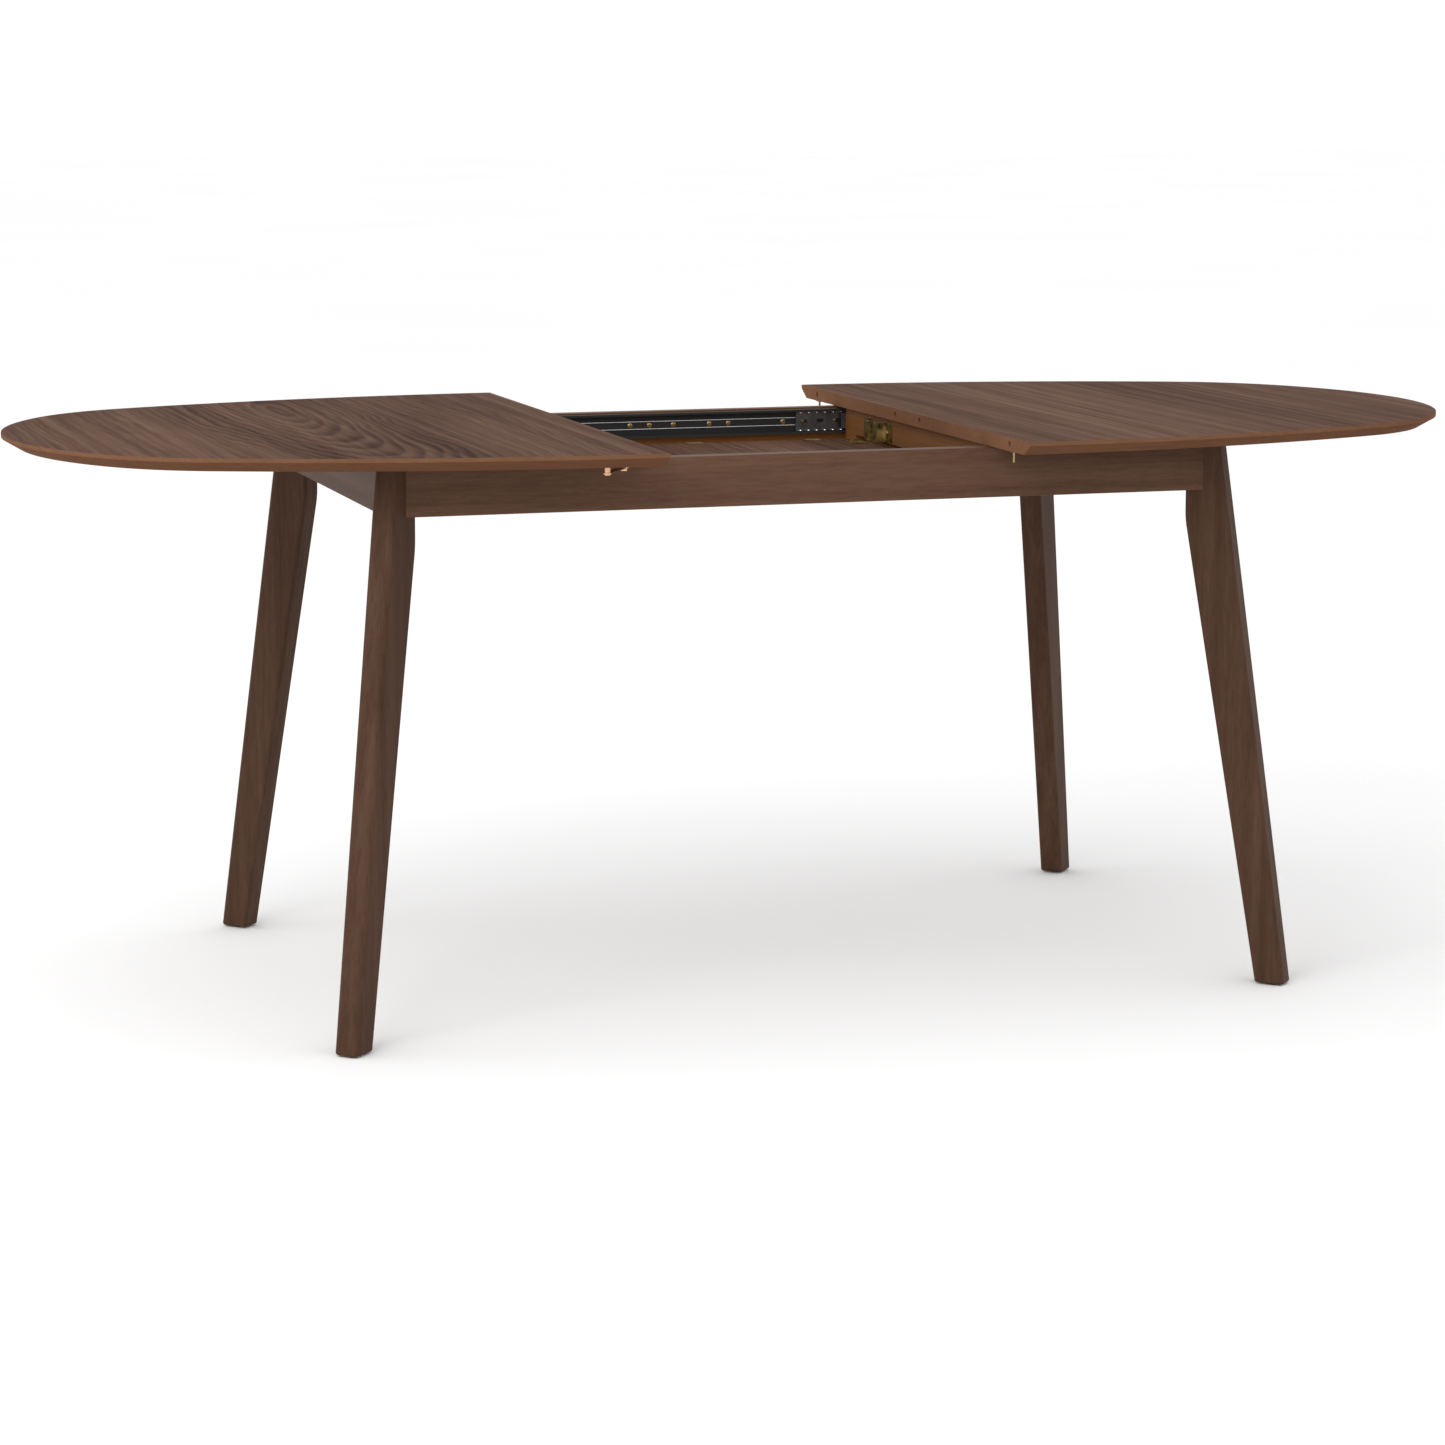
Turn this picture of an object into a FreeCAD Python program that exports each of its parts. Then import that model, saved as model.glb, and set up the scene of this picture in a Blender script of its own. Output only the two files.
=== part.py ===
import FreeCAD, Part
import os
from math import atan2, pi, sqrt

import Sketcher
from FreeCAD import Placement, Rotation, Vector

# Extendable oval dining table, drawn open. Origin on the floor under the table's centre,
# +X along the length, +Y towards the back, +Z up. Millimetres.

doc = FreeCAD.newDocument("ExtendableTable")
sheet = doc.addObject("Spreadsheet::Sheet", "Sizes")

SIZES = (
    ("table_height", 750),          # floor to table top
    ("top_half_length", 760),       # cut edge to tip of one half
    ("top_width", 890),
    ("top_thick", 18),
    ("leaf_length", 480),           # leaf, and the gap it fills
    ("corner_arc_radius", 270),     # between the oval's long side and its tip
    ("side_drop", 85.4),            # long side's fall down to the corner arc's crown
    ("tip_drop", 28.5),             # tip's fall back to the corner arc's crown
    ("corner_across", "top_half_length - tip_drop - corner_arc_radius"),
    ("corner_up", "top_width / 2 - side_drop - corner_arc_radius"),
    ("side_arc_radius", "corner_across ^ 2 / (2 * side_drop) + side_drop / 2 + corner_arc_radius"),
    ("tip_arc_radius", "corner_up ^ 2 / (2 * tip_drop) + tip_drop / 2 + corner_arc_radius"),
    ("edge_band", 5),               # upright part of the top's edge
    ("bevel_width", 22),            # underside set back by this much
    ("frame_reach", 329),           # the gap's edge to the frame's end
    ("frame_length", "leaf_length + 2 * frame_reach"),
    ("frame_width", 624),           # over the long aprons
    ("frame_play", 1),              # top halves clear the frame by this
    ("apron_height", 66),
    ("apron_thick", 22),
    ("leg_thick", 34),
    ("leg_top_out", 3),             # outer face beyond the frame's corner
    ("leg_top_depth", 46),
    ("leg_foot_out", 110),
    ("leg_foot_depth", 41),
    ("knee_drop", 40),              # apron's lower edge to the leg's knee
    ("knee_radius", 120),
    ("leg_outer_round", 8),
    ("leg_inner_round", 5),
    ("foot_round", 3),
    ("wood_fit", 0.2),              # joint gap between apron and leg
    ("glide_proud", 2),
    ("glide_radius", 11),
    ("block_thick", 32),            # corner block
    ("block_drop", 6),              # block's top below the frame's top
    ("block_height", 52),
    ("bolt_radius", 4),
    ("bolt_into_leg", 34),
    ("channel_reach", 240),         # the gap's edge to the channel's end
    ("channel_length", "leaf_length + 2 * channel_reach"),
    ("channel_height", 35),
    ("channel_depth", 12),
    ("channel_drop", 2),            # channel's top below the frame's top
    ("gauge", 1.5),                 # steel of the slides
    ("runner_length", 225),         # inner slide member
    ("runner_setback", 3),          # its inner end behind the cut edge
    ("runner_start", "leaf_length / 2 + runner_setback"),
    ("runner_height", 22.8),
    ("runner_depth", 7.9),
    ("runner_reach", 12.5),         # its face from the apron
    ("cage_home", 56),              # its inner end from the centre when closed
    ("cage_start", "leaf_length / 4 + cage_home"),
    ("cage_length", 150),
    ("cage_gauge", 0.8),
    ("ball_radius", 2.25),
    ("ball_reach", 7.5),            # ball centres from the apron
    ("ball_rise", 13.7),            # and from the channel's middle
    ("bar_setback", 10),            # crossbar behind the cut edge
    ("bar_width", 30),
    ("bar_pitch", 190),             # inner to outer crossbar
    ("bar_depth", 37),              # over the stored leaf
    ("bar_end_depth", 52),
    ("bar_end_length", 44),
    ("leaf_drop", 59),              # table top to the stored leaf's face
    ("dowel_radius", 4),
    ("dowel_proud", 12),
    ("bore_radius", 4.1),
    ("bore_depth", 14),
    ("dowel_near", 48),
    ("dowel_far", 375),
    ("stretcher_gap", 22),          # stored leaf's end to the stretcher
    ("stretcher_place", "leaf_length / 2 + stretcher_gap"),
    ("stretcher_thick", 22),
    ("stretcher_height", 25),
    ("stretcher_end_height", 12),
    ("hanger_gauge", 2.5),
    ("hanger_width", 30),
    ("hanger_lip", 30),
    ("latch_place", 378),           # latches and keepers from the centre line
    ("latch_pivot", 62),            # pivot behind the cut edge
    ("latch_reach", 67),
    ("latch_plate", 1.5),
    ("latch_drop", 12.3),           # top's underside to the lever's lower face
    ("latch_play", 0.2),            # lever between its rivet's shoulder and head
    ("keeper_radius", 1.5),
    ("screw_radius", 1.9),
    ("screw_fit", 0.05),            # tight hole beyond the screw
    ("screw_pass", 0.1),            # and a loose one
    ("pan_radius", 3.6),            # round heads
    ("sunk_radius", 3.8),           # countersunk heads
    ("sunk_height", 2.4),
    ("screw_end", 1),               # hole runs on past the screw's tip
)


def fill_sheet():
    for row, (alias, value) in enumerate(SIZES, start=1):
        sheet.set("A%d" % row, alias)
        sheet.set("B%d" % row, "=" + value if isinstance(value, str) else str(value))
        sheet.setAlias("B%d" % row, alias)
    doc.recompute()


fill_sheet()


def size(alias):
    return float(sheet.get(alias))


def amount(expression):
    return float(sheet.evalExpression(expression))


def named(expression):
    """Put the sheet's name before every alias in an expression."""
    words = {alias for alias, _ in SIZES}
    out = []
    word = ""
    for mark in expression + " ":
        if mark.isalnum() or mark in "_.":
            word += mark
            continue
        out.append("Sizes." + word if word in words else word)
        out.append(mark)
        word = ""
    return "".join(out).strip()


UNDERSIDE = "(table_height - top_thick)"
FRAME_TOP = "(table_height - top_thick - frame_play)"
APRON_FOOT = "(table_height - top_thick - frame_play - apron_height)"
CHANNEL_MID = "(table_height - top_thick - frame_play - channel_drop - channel_height / 2)"
INNER_FACE = "(frame_width / 2 - apron_thick)"
LEAF_FACE = "(table_height - leaf_drop)"
LEAF_FOOT = "(table_height - leaf_drop - 2 * top_thick)"


def value(expression):
    return amount(named(expression))


# ---------------------------------------------------------------- helpers

def new_body(label, placement=None):
    body = doc.addObject("PartDesign::Body", label)
    body.Label = label
    if placement is not None:
        body.Placement = placement
    return body


def new_sketch(body, plane, offset=None):
    """Sketch on one of the body's own planes, moved along its normal."""
    sketch = body.newObject("Sketcher::SketchObject", body.Name + "_sketch")
    support = [f for f in body.Origin.OriginFeatures if f.Role == plane][0]
    sketch.AttachmentSupport = (support, [""])
    sketch.MapMode = "FlatFace"
    if offset is not None:
        sketch.AttachmentOffset = Placement(Vector(0, 0, value(offset)), Rotation())
        sketch.setExpression("AttachmentOffset.Base.z", named(offset))
    return sketch


def pin_point(sketch, edge, end, across, up):
    """Tie one sketch point to the sheet."""
    for kind, axis, text in (("DistanceX", -2, across), ("DistanceY", -1, up)):
        reach = value(text)
        if abs(reach) < 1e-7:
            sketch.addConstraint(Sketcher.Constraint("PointOnObject", edge, end, axis))
            continue
        place = sketch.addConstraint(Sketcher.Constraint(kind, -1, 1, edge, end, reach))
        sketch.setExpression("Constraints[%d]" % place, named(text))


def draw_polygon(sketch, corners):
    """Closed outline; each corner is a pair of expressions."""
    points = [Vector(value(a), value(b), 0) for a, b in corners]
    count = len(points)
    first = sketch.GeometryCount
    for i in range(count):
        sketch.addGeometry(Part.LineSegment(points[i], points[(i + 1) % count]), False)
    for i in range(count):
        following = first + (i + 1) % count
        sketch.addConstraint(Sketcher.Constraint("Coincident", first + i, 2, following, 1))
    for i in range(count):
        pin_point(sketch, first + i, 1, corners[i][0], corners[i][1])


def draw_circle(sketch, across, up, radius):
    circle = Part.Circle(Vector(value(across), value(up), 0), Vector(0, 0, 1), value(radius))
    edge = sketch.addGeometry(circle, False)
    pin_point(sketch, edge, 3, across, up)
    place = sketch.addConstraint(Sketcher.Constraint("Radius", edge, value(radius)))
    sketch.setExpression("Constraints[%d]" % place, named(radius))


def pad(body, sketch, length, middle=False, back=False):
    feature = body.newObject("PartDesign::Pad", body.Name + "_pad")
    feature.Profile = sketch
    feature.Length = value(length)
    feature.setExpression("Length", named(length))
    feature.Midplane = middle
    feature.Reversed = back
    sketch.Visibility = False
    doc.recompute()
    return feature


def pocket(body, sketch):
    """Cut a sketch right through the body, both ways from its plane."""
    before = body.Shape.Volume
    feature = body.newObject("PartDesign::Pocket", body.Name + "_pocket")
    feature.Profile = sketch
    feature.Type = "ThroughAll"
    feature.Midplane = True
    sketch.Visibility = False
    doc.recompute()
    if not body.Shape.Volume < before - 1e-3:
        raise ValueError(body.Label + ": a pocket cuts nothing")
    return feature


def round_edges(body, radius, wanted):
    """Fillet the tip's edges that wanted() picks."""
    tip = body.Tip
    names = ["Edge%d" % (i + 1) for i, edge in enumerate(tip.Shape.Edges) if wanted(edge)]
    if not names:
        raise ValueError(body.Label + ": no edge to round")
    feature = body.newObject("PartDesign::Fillet", body.Name + "_round")
    feature.Base = (tip, names)
    feature.Radius = value(radius)
    feature.setExpression("Radius", named(radius))
    doc.recompute()
    return feature


def turned(angle, x=0.0, y=0.0, z=0.0):
    return Placement(Vector(x, y, z), Rotation(Vector(0, 0, 1), angle))


def cylinder(name, radius, height, base, direction):
    """Part cylinder from base along direction, sizes tied to the sheet."""
    rod = doc.addObject("Part::Cylinder", name)
    rod.Radius = value(radius)
    rod.Height = value(height)
    rod.setExpression("Radius", named(radius))
    rod.setExpression("Height", named(height))
    rod.Placement = Placement(base, Rotation(Vector(0, 0, 1), direction))
    return rod


def cone(name, start, finish, height, base, direction):
    taper = doc.addObject("Part::Cone", name)
    taper.Radius1 = value(start)
    taper.Radius2 = value(finish)
    taper.Height = value(height)
    for field, text in (("Radius1", start), ("Radius2", finish), ("Height", height)):
        taper.setExpression(field, named(text))
    taper.Placement = Placement(base, Rotation(Vector(0, 0, 1), direction))
    return taper


def fused(name, pieces):
    joined = doc.addObject("Part::MultiFuse", name)
    joined.Shapes = pieces
    joined.Refine = True
    return joined


def group(label, pieces):
    bundle = doc.addObject("Part::Compound", label)
    bundle.Label = label
    bundle.Links = pieces
    doc.recompute()
    return bundle


def wood_screw(name, radius, length, head_radius, head_height, base, direction):
    """Countersunk screw; base is the middle of its flat head."""
    head = cone(name + "_head", head_radius, radius, head_height, base, direction)
    start = base + direction * value(head_height)
    shank = cylinder(name + "_shank", radius, "%s - %s - 2 * %s" % (length, head_height, radius),
                     start, direction)
    tip_base = base + direction * (value(length) - 2 * value(radius))
    tip = cone(name + "_tip", radius, "%s / 8" % radius, "2 * %s" % radius, tip_base, direction)
    return fused(name, [head, shank, tip])


def pan_screw(name, radius, length, head_radius, head_height, base, direction):
    """Round-headed screw; base lies under the head, where it bears."""
    head = cylinder(name + "_head", head_radius, head_height,
                    base - direction * value(head_height), direction)
    shank = cylinder(name + "_shank", radius, length, base, direction)
    return fused(name, [head, shank])


def drilled(label, body, pieces):
    """The body with clearance holes cut for its fasteners."""
    tools = doc.addObject("Part::Compound", label + "_drills")
    tools.Links = pieces
    body.Label = label + "_blank"
    cut = doc.addObject("Part::Cut", label)
    cut.Base = body
    cut.Tool = tools
    cut.Label = label
    doc.recompute()
    if not cut.Shape.Volume < body.Shape.Volume - 1e-3:
        raise ValueError(label + ": its drills cut nothing")
    return cut


# ---------------------------------------------------------------- the oval top

def arc(centre, radius, start, finish):
    circle = Part.Circle(centre, Vector(0, 0, 1), radius)
    return Part.ArcOfCircle(circle, start, finish)


def draw_half_oval(sketch, inset):
    """Half table outline with its straight cut edge on the Y axis."""
    shrink = value(inset)
    half = size("top_width") / 2
    middle = Vector(size("corner_across"), size("corner_up"), 0)
    side_centre = Vector(0, half - size("side_arc_radius"), 0)
    tip_centre = Vector(value("top_half_length - tip_arc_radius"), 0, 0)
    first = atan2(middle.y - side_centre.y, middle.x)
    last = atan2(middle.y, middle.x - tip_centre.x)
    below = Vector(middle.x, -middle.y, 0)
    radii = ("side_arc_radius", "corner_arc_radius", "tip_arc_radius")
    side, corner, tip = [size(alias) - shrink for alias in radii]
    sketch.addGeometry(arc(side_centre, side, first, pi / 2), False)
    sketch.addGeometry(arc(middle, corner, last, first), False)
    sketch.addGeometry(arc(tip_centre, tip, -last, last), False)
    sketch.addGeometry(arc(below, corner, -first, -last), False)
    sketch.addGeometry(arc(-side_centre, side, -pi / 2, -first), False)
    ends = [Vector(0, sign * (half - shrink), 0) for sign in (-1, 1)]
    sketch.addGeometry(Part.LineSegment(*ends), False)
    for upper in range(4):
        sketch.addConstraint(Sketcher.Constraint("Tangent", upper, 1, upper + 1, 2))
    sketch.addConstraint(Sketcher.Constraint("Coincident", 4, 1, 5, 1))
    sketch.addConstraint(Sketcher.Constraint("Coincident", 5, 2, 0, 2))
    pin_point(sketch, 5, 1, "0", "%s - top_width / 2" % inset)
    pin_point(sketch, 5, 2, "0", "top_width / 2 - %s" % inset)
    pin_point(sketch, 2, 3, "top_half_length - tip_arc_radius", "0")
    for edge, alias in enumerate(radii):
        place = sketch.addConstraint(Sketcher.Constraint("Radius", edge, size(alias) - shrink))
        sketch.setExpression("Constraints[%d]" % place, named("%s - %s" % (alias, inset)))
    sketch.addConstraint(Sketcher.Constraint("PointOnObject", 0, 3, -2))
    sketch.addConstraint(Sketcher.Constraint("Symmetric", 1, 3, 3, 3, -1))
    sketch.addConstraint(Sketcher.Constraint("PointOnObject", 4, 3, -2))


def bevelled_board(label, placement, draw):
    """Board of one plan: an upright band round its edge over a bevelled underside."""
    body = new_body(label, placement)
    band = new_sketch(body, "XY_Plane", "top_thick - edge_band")
    draw(band, "0")
    pad(body, band, "edge_band")
    rim = new_sketch(body, "XY_Plane", "top_thick - edge_band")
    draw(rim, "0")
    foot = new_sketch(body, "XY_Plane", "0")
    draw(foot, "bevel_width")
    bevel = body.newObject("PartDesign::AdditiveLoft", label + "_bevel")
    bevel.Profile = rim
    bevel.Sections = [foot]
    bevel.Ruled = True
    doc.recompute()
    return body


def cut_spots(side):
    """Centres of the dowels along one half's cut edge, at mid thickness."""
    edge = side * value("leaf_length / 2")
    middle = value("table_height - top_thick / 2")
    return [Vector(edge, sign * size(alias), middle)
            for alias in ("dowel_near", "dowel_far") for sign in (-1, 1)]


# ---------------------------------------------------------------- frame

def long_apron(label, placement, drills):
    body = new_body(label, placement)
    sketch = new_sketch(body, "XY_Plane", APRON_FOOT)
    outer = "(frame_length / 2 - (leg_thick / 2 + wood_fit) * sqrt(2))"
    inner = "(%s - apron_thick)" % outer
    face = "frame_width / 2"
    back = "frame_width / 2 - apron_thick"
    draw_polygon(sketch, [("-" + outer, face), ("-" + inner, back), (inner, back), (outer, face)])
    pad(body, sketch, "apron_height")
    round_edges(body, "1.5", lambda e: lies_along(e, "x") and e.BoundBox.YMin > value(face) - 1)
    return drilled(label, body, drills)


def end_apron(label, placement, drills):
    body = new_body(label, placement)
    sketch = new_sketch(body, "XY_Plane", APRON_FOOT)
    outer = "(frame_width / 2 - (leg_thick / 2 + wood_fit) * sqrt(2))"
    inner = "(%s - apron_thick)" % outer
    face = "frame_length / 2"
    back = "frame_length / 2 - apron_thick"
    draw_polygon(sketch, [(face, "-" + outer), (back, "-" + inner), (back, inner), (face, outer)])
    pad(body, sketch, "apron_height")
    round_edges(body, "1.5", lambda e: lies_along(e, "y") and e.BoundBox.XMin > value(face) - 1)
    return drilled(label, body, drills)


def lies_along(edge, axis):
    box = edge.BoundBox
    spans = {"x": box.XLength, "y": box.YLength, "z": box.ZLength}
    longest = spans.pop(axis)
    return longest > 20 and max(spans.values()) < 0.01


CORNERS = (
    ("front_left", 225, -1, -1),
    ("front_right", 315, 1, -1),
    ("back_right", 45, 1, 1),
    ("back_left", 135, -1, 1),
)


def corner_spot(across, deep):
    return Vector(across * size("frame_length") / 2, deep * size("frame_width") / 2, 0)


def at_corner(angle, across, deep):
    """Frame of a corner: +x runs outwards along the diagonal."""
    spot = corner_spot(across, deep)
    return turned(angle, spot.x, spot.y)


def bolt_heights():
    top = value(FRAME_TOP) - size("block_drop")
    return (top - size("block_height") * 0.27, top - size("block_height") * 0.73)


def leg(label, placement, drills):
    body = new_body(label, placement)
    sketch = new_sketch(body, "XZ_Plane")
    knee = APRON_FOOT + " - knee_drop"
    back = "leg_top_out - leg_top_depth"
    draw_polygon(sketch, [
        ("leg_foot_out - leg_foot_depth", "glide_proud"),
        ("leg_foot_out", "glide_proud"),
        ("leg_top_out", FRAME_TOP),
        (back, FRAME_TOP),
        (back, knee),
    ])
    pad(body, sketch, "leg_thick", middle=True)
    half = size("leg_thick") / 2
    knee_height = value(knee)

    def is_knee(edge):
        box = edge.BoundBox
        return box.YLength > half and abs(box.ZMin - knee_height) < 1 and box.ZLength < 1

    def is_outer(edge):
        box = edge.BoundBox
        return box.YLength < 0.01 and box.ZLength > 300 and box.XMax > size("leg_foot_out") - 1

    def is_inner(edge):
        box = edge.BoundBox
        return box.YLength < 0.01 and box.ZLength > 300 and box.XMax < size("leg_foot_out") - 5

    def is_foot(edge):
        return edge.BoundBox.ZMax < size("glide_proud") + 0.01

    round_edges(body, "knee_radius", is_knee)
    round_edges(body, "leg_outer_round", is_outer)
    round_edges(body, "leg_inner_round", is_inner)
    round_edges(body, "foot_round", is_foot)
    return drilled(label, body, drills)


def foot_glide(name, placement):
    """Nylon disc with a nail, turned about its own upright axis."""
    body = new_body(name, placement)
    sketch = new_sketch(body, "XZ_Plane")
    draw_polygon(sketch, [
        ("0", "0"),
        ("glide_radius - 1", "0"),
        ("glide_radius", "1"),
        ("glide_radius", "glide_proud"),
        ("1.2", "glide_proud"),
        ("1.2", "glide_proud + 11"),
        ("0", "glide_proud + 14"),
    ])
    turn = body.newObject("PartDesign::Revolution", name + "_turn")
    turn.Profile = sketch
    turn.ReferenceAxis = (sketch, ["V_Axis"])
    turn.Angle = 360
    doc.recompute()
    return body


def corner_block(label, placement, drills):
    body = new_body(label, placement)
    sketch = new_sketch(body, "XY_Plane", FRAME_TOP + " - block_drop - block_height")
    near = "(leg_top_out - leg_top_depth)"
    far = "(%s - block_thick)" % near
    inside = "(apron_thick * sqrt(2))"
    draw_polygon(sketch, [
        (near, "-(%s + %s)" % (near, inside)),
        (near, "%s + %s" % (near, inside)),
        (far, "%s + %s" % (far, inside)),
        (far, "-(%s + %s)" % (far, inside)),
    ])
    pad(body, sketch, "block_height")
    return drilled(label, body, drills)


def block_face():
    return value("leg_top_out - leg_top_depth - block_thick")


def hex_nut(name, placement):
    """M8 nut, its axis along +x of its corner."""
    nut = doc.addObject("Part::Prism", name + "_hexagon")
    nut.Polygon = 6
    nut.setExpression("Circumradius", named("bolt_radius * 1.875"))
    nut.setExpression("Height", named("bolt_radius * 1.625"))
    nut.Placement = placement
    hole = doc.addObject("Part::Cylinder", name + "_hole")
    hole.setExpression("Radius", named("bolt_radius + 0.05"))
    hole.setExpression("Height", named("bolt_radius * 1.625"))
    hole.Placement = placement
    cut = doc.addObject("Part::Cut", name)
    cut.Base = nut
    cut.Tool = hole
    return cut


def washer(name, placement):
    disc = doc.addObject("Part::Cylinder", name + "_disc")
    disc.setExpression("Radius", named("bolt_radius * 2.2"))
    disc.setExpression("Height", "1.6")
    disc.Placement = placement
    hole = doc.addObject("Part::Cylinder", name + "_hole")
    hole.setExpression("Radius", named("bolt_radius + 0.2"))
    hole.setExpression("Height", "1.6")
    hole.Placement = placement
    cut = doc.addObject("Part::Cut", name)
    cut.Base = disc
    cut.Tool = hole
    return cut


def corner_bolt(tag, place, height):
    """Stud, washer and nut of one bolt, with the drills for its leg and block."""
    outward = place.Rotation.multVec(Vector(1, 0, 0))
    sideways = Rotation(Vector(0, 0, 1), outward)
    face = place.multVec(Vector(block_face(), 0, height))
    tail = value("bolt_radius * 2.6")
    stud = cylinder("bolt_" + tag, "bolt_radius", "block_thick + bolt_into_leg + bolt_radius * 2.6",
                    face - outward * tail, outward)
    leg_drill = cylinder("leg_drill_" + tag, "bolt_radius + 0.05",
                         "block_thick + bolt_into_leg + 1", face, outward)
    block_drill = cylinder("block_drill_" + tag, "bolt_radius + 0.3", "block_thick + 2",
                           face - outward, outward)
    disc = washer("washer_" + tag, Placement(face - outward * 1.6, sideways))
    nut_base = face - outward * (1.6 + value("bolt_radius * 1.625"))
    nut = hex_nut("nut_" + tag, Placement(nut_base, sideways))
    return stud, disc, nut, leg_drill, block_drill


def block_screw(tag, across, deep, run, height):
    """Screw from a corner block square into an apron, with its three drills."""
    inner = Vector(across * value("frame_length / 2 - apron_thick"), deep * value(INNER_FACE),
                   height)
    side = Vector(0, -deep, 0) if run.x else Vector(-across, 0, 0)
    seat = inner + side * 34 - run * 20
    screw = wood_screw("block_screw_" + tag, "screw_radius", "36", "sunk_radius", "sunk_height", seat, run)
    sink = cylinder("block_sink_" + tag, "4.5", "32.4", seat - run * 30, run)
    loose = cylinder("block_pass_" + tag, "screw_radius + screw_pass", "24", seat, run)
    tight = cylinder("apron_drill_" + tag, "screw_radius + screw_fit", "36 + screw_end", seat, run)
    return screw, [sink, loose], tight


def build_corners():
    """Legs, blocks and their fixings; returns the drills each apron needs."""
    bolts, nuts, washers, screws, blocks, glides = [], [], [], [], [], []
    apron_drills = {"front_apron": [], "back_apron": [], "left_apron": [], "right_apron": []}
    for name, angle, across, deep in CORNERS:
        place = at_corner(angle, across, deep)
        leg_drills, block_drills = [], []
        for i, height in enumerate(bolt_heights()):
            stud, disc, nut, leg_drill, block_drill = corner_bolt("%s_%d" % (name, i), place, height)
            bolts.append(stud)
            washers.append(disc)
            nuts.append(nut)
            leg_drills.append(leg_drill)
            block_drills.append(block_drill)
        runs = ((Vector(0, deep, 0), "front_apron" if deep < 0 else "back_apron"),
                (Vector(across, 0, 0), "left_apron" if across < 0 else "right_apron"))
        for run, apron in runs:
            for i, height in enumerate(bolt_heights()):
                tag = "%s_%s_%d" % (name, apron, i)
                screw, in_block, in_apron = block_screw(tag, across, deep, run, height)
                screws.append(screw)
                block_drills.extend(in_block)
                apron_drills[apron].append(in_apron)
        foot = place.multVec(Vector(value("leg_foot_out - leg_foot_depth / 2"), 0, 0))
        glides.append(foot_glide("glide_" + name, Placement(foot, Rotation())))
        leg_drills.append(cylinder("glide_drill_" + name, "1.3", "glide_proud + 15", foot,
                                   Vector(0, 0, 1)))
        leg("leg_" + name, place, leg_drills)
        blocks.append(corner_block("block_" + name, place, block_drills))
    group("corner_blocks", blocks)
    group("foot_glides", glides)
    group("corner_bolts", bolts)
    group("corner_nuts", nuts)
    group("corner_washers", washers)
    group("block_screws", screws)
    return apron_drills


# ---------------------------------------------------------------- slides

def channel_profile(outer):
    """Section of a slide member: x is the distance from the apron, y the rise."""
    if outer:
        deep, rise = "channel_depth", "channel_height / 2"
        lip = "(channel_height / 2 - 3.2)"
        return [
            ("0", "-(%s)" % rise), (deep, "-(%s)" % rise), (deep, "-" + lip),
            (deep + " - gauge", "-" + lip), (deep + " - gauge", "gauge - (%s)" % rise),
            ("gauge", "gauge - (%s)" % rise), ("gauge", "%s - gauge" % rise),
            (deep + " - gauge", "%s - gauge" % rise), (deep + " - gauge", lip),
            (deep, lip), (deep, rise), ("0", rise),
        ]
    face, rise = "runner_reach", "runner_height / 2"
    back = "(runner_reach - runner_depth)"
    return [
        (back, "-(%s)" % rise), (face, "-(%s)" % rise), (face, rise), (back, rise),
        (back, "%s - gauge" % rise), (face + " - gauge", "%s - gauge" % rise),
        (face + " - gauge", "gauge - (%s)" % rise), (back, "gauge - (%s)" % rise),
    ]


def draw_section(sketch, corners):
    """Section on the YZ plane of the back slide: y runs from the apron inwards."""
    draw_polygon(sketch, [("%s - (%s)" % (INNER_FACE, away), "%s + (%s)" % (CHANNEL_MID, rise))
                          for away, rise in corners])


def member(label, corners, start, length, placement):
    body = new_body(label, placement)
    sketch = new_sketch(body, "YZ_Plane", start)
    draw_section(sketch, corners)
    pad(body, sketch, length)
    return body


CHANNEL_SCREWS = (-237, -188, -157, -74, -45, -9, 45, 74, 157, 188, 237, -330, 330, -440, 440)
SPARE_HOLES = (-173, -58.5, -30, 9, 30, 58.5, 173)


def slide_channel(label, placement):
    """Fixed outer member; its web lies on the apron's inner face."""
    blank = member(label, channel_profile(True), "-channel_length / 2", "channel_length",
                   placement)
    drills = []
    inward = placement.Rotation.multVec(Vector(0, -1, 0))
    for i, spot in enumerate(CHANNEL_SCREWS + SPARE_HOLES):
        radius = "screw_radius + screw_pass" if spot in CHANNEL_SCREWS else "1.6"
        base = placement.multVec(Vector(spot, value(INNER_FACE) + 1, value(CHANNEL_MID)))
        drills.append(cylinder("%s_hole_%d" % (label, i), radius, "gauge + 2", base, inward))
    return drilled(label, blank, drills)


def channel_screws(name, placement):
    """Screws through one channel into its apron, with the apron's drills."""
    screws, drills = [], []
    outward = placement.Rotation.multVec(Vector(0, 1, 0))
    for i, spot in enumerate(CHANNEL_SCREWS):
        base = placement.multVec(Vector(spot, value(INNER_FACE + " - gauge"), value(CHANNEL_MID)))
        tag = "%s_%d" % (name, i)
        screws.append(pan_screw(tag, "screw_radius", "16", "pan_radius", "1.5", base, outward))
        drills.append(cylinder(tag + "_bed", "screw_radius + screw_fit", "16 + screw_end", base, outward))
    return screws, drills


def cage_profile():
    web = "(runner_reach - runner_depth - 0.4 - cage_gauge)"
    out = "(ball_reach + ball_radius + 0.3)"
    rise = "(ball_rise + cage_gauge / 2)"
    thin = "cage_gauge"
    return [
        (web, "-" + rise), (out, "-" + rise), (out, "%s - %s" % (thin, rise)),
        ("%s + %s" % (web, thin), "%s - %s" % (thin, rise)),
        ("%s + %s" % (web, thin), "%s - %s" % (rise, thin)),
        (out, "%s - %s" % (rise, thin)), (out, rise), (web, rise),
    ]


BALLS_IN_ROW = 12


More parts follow.
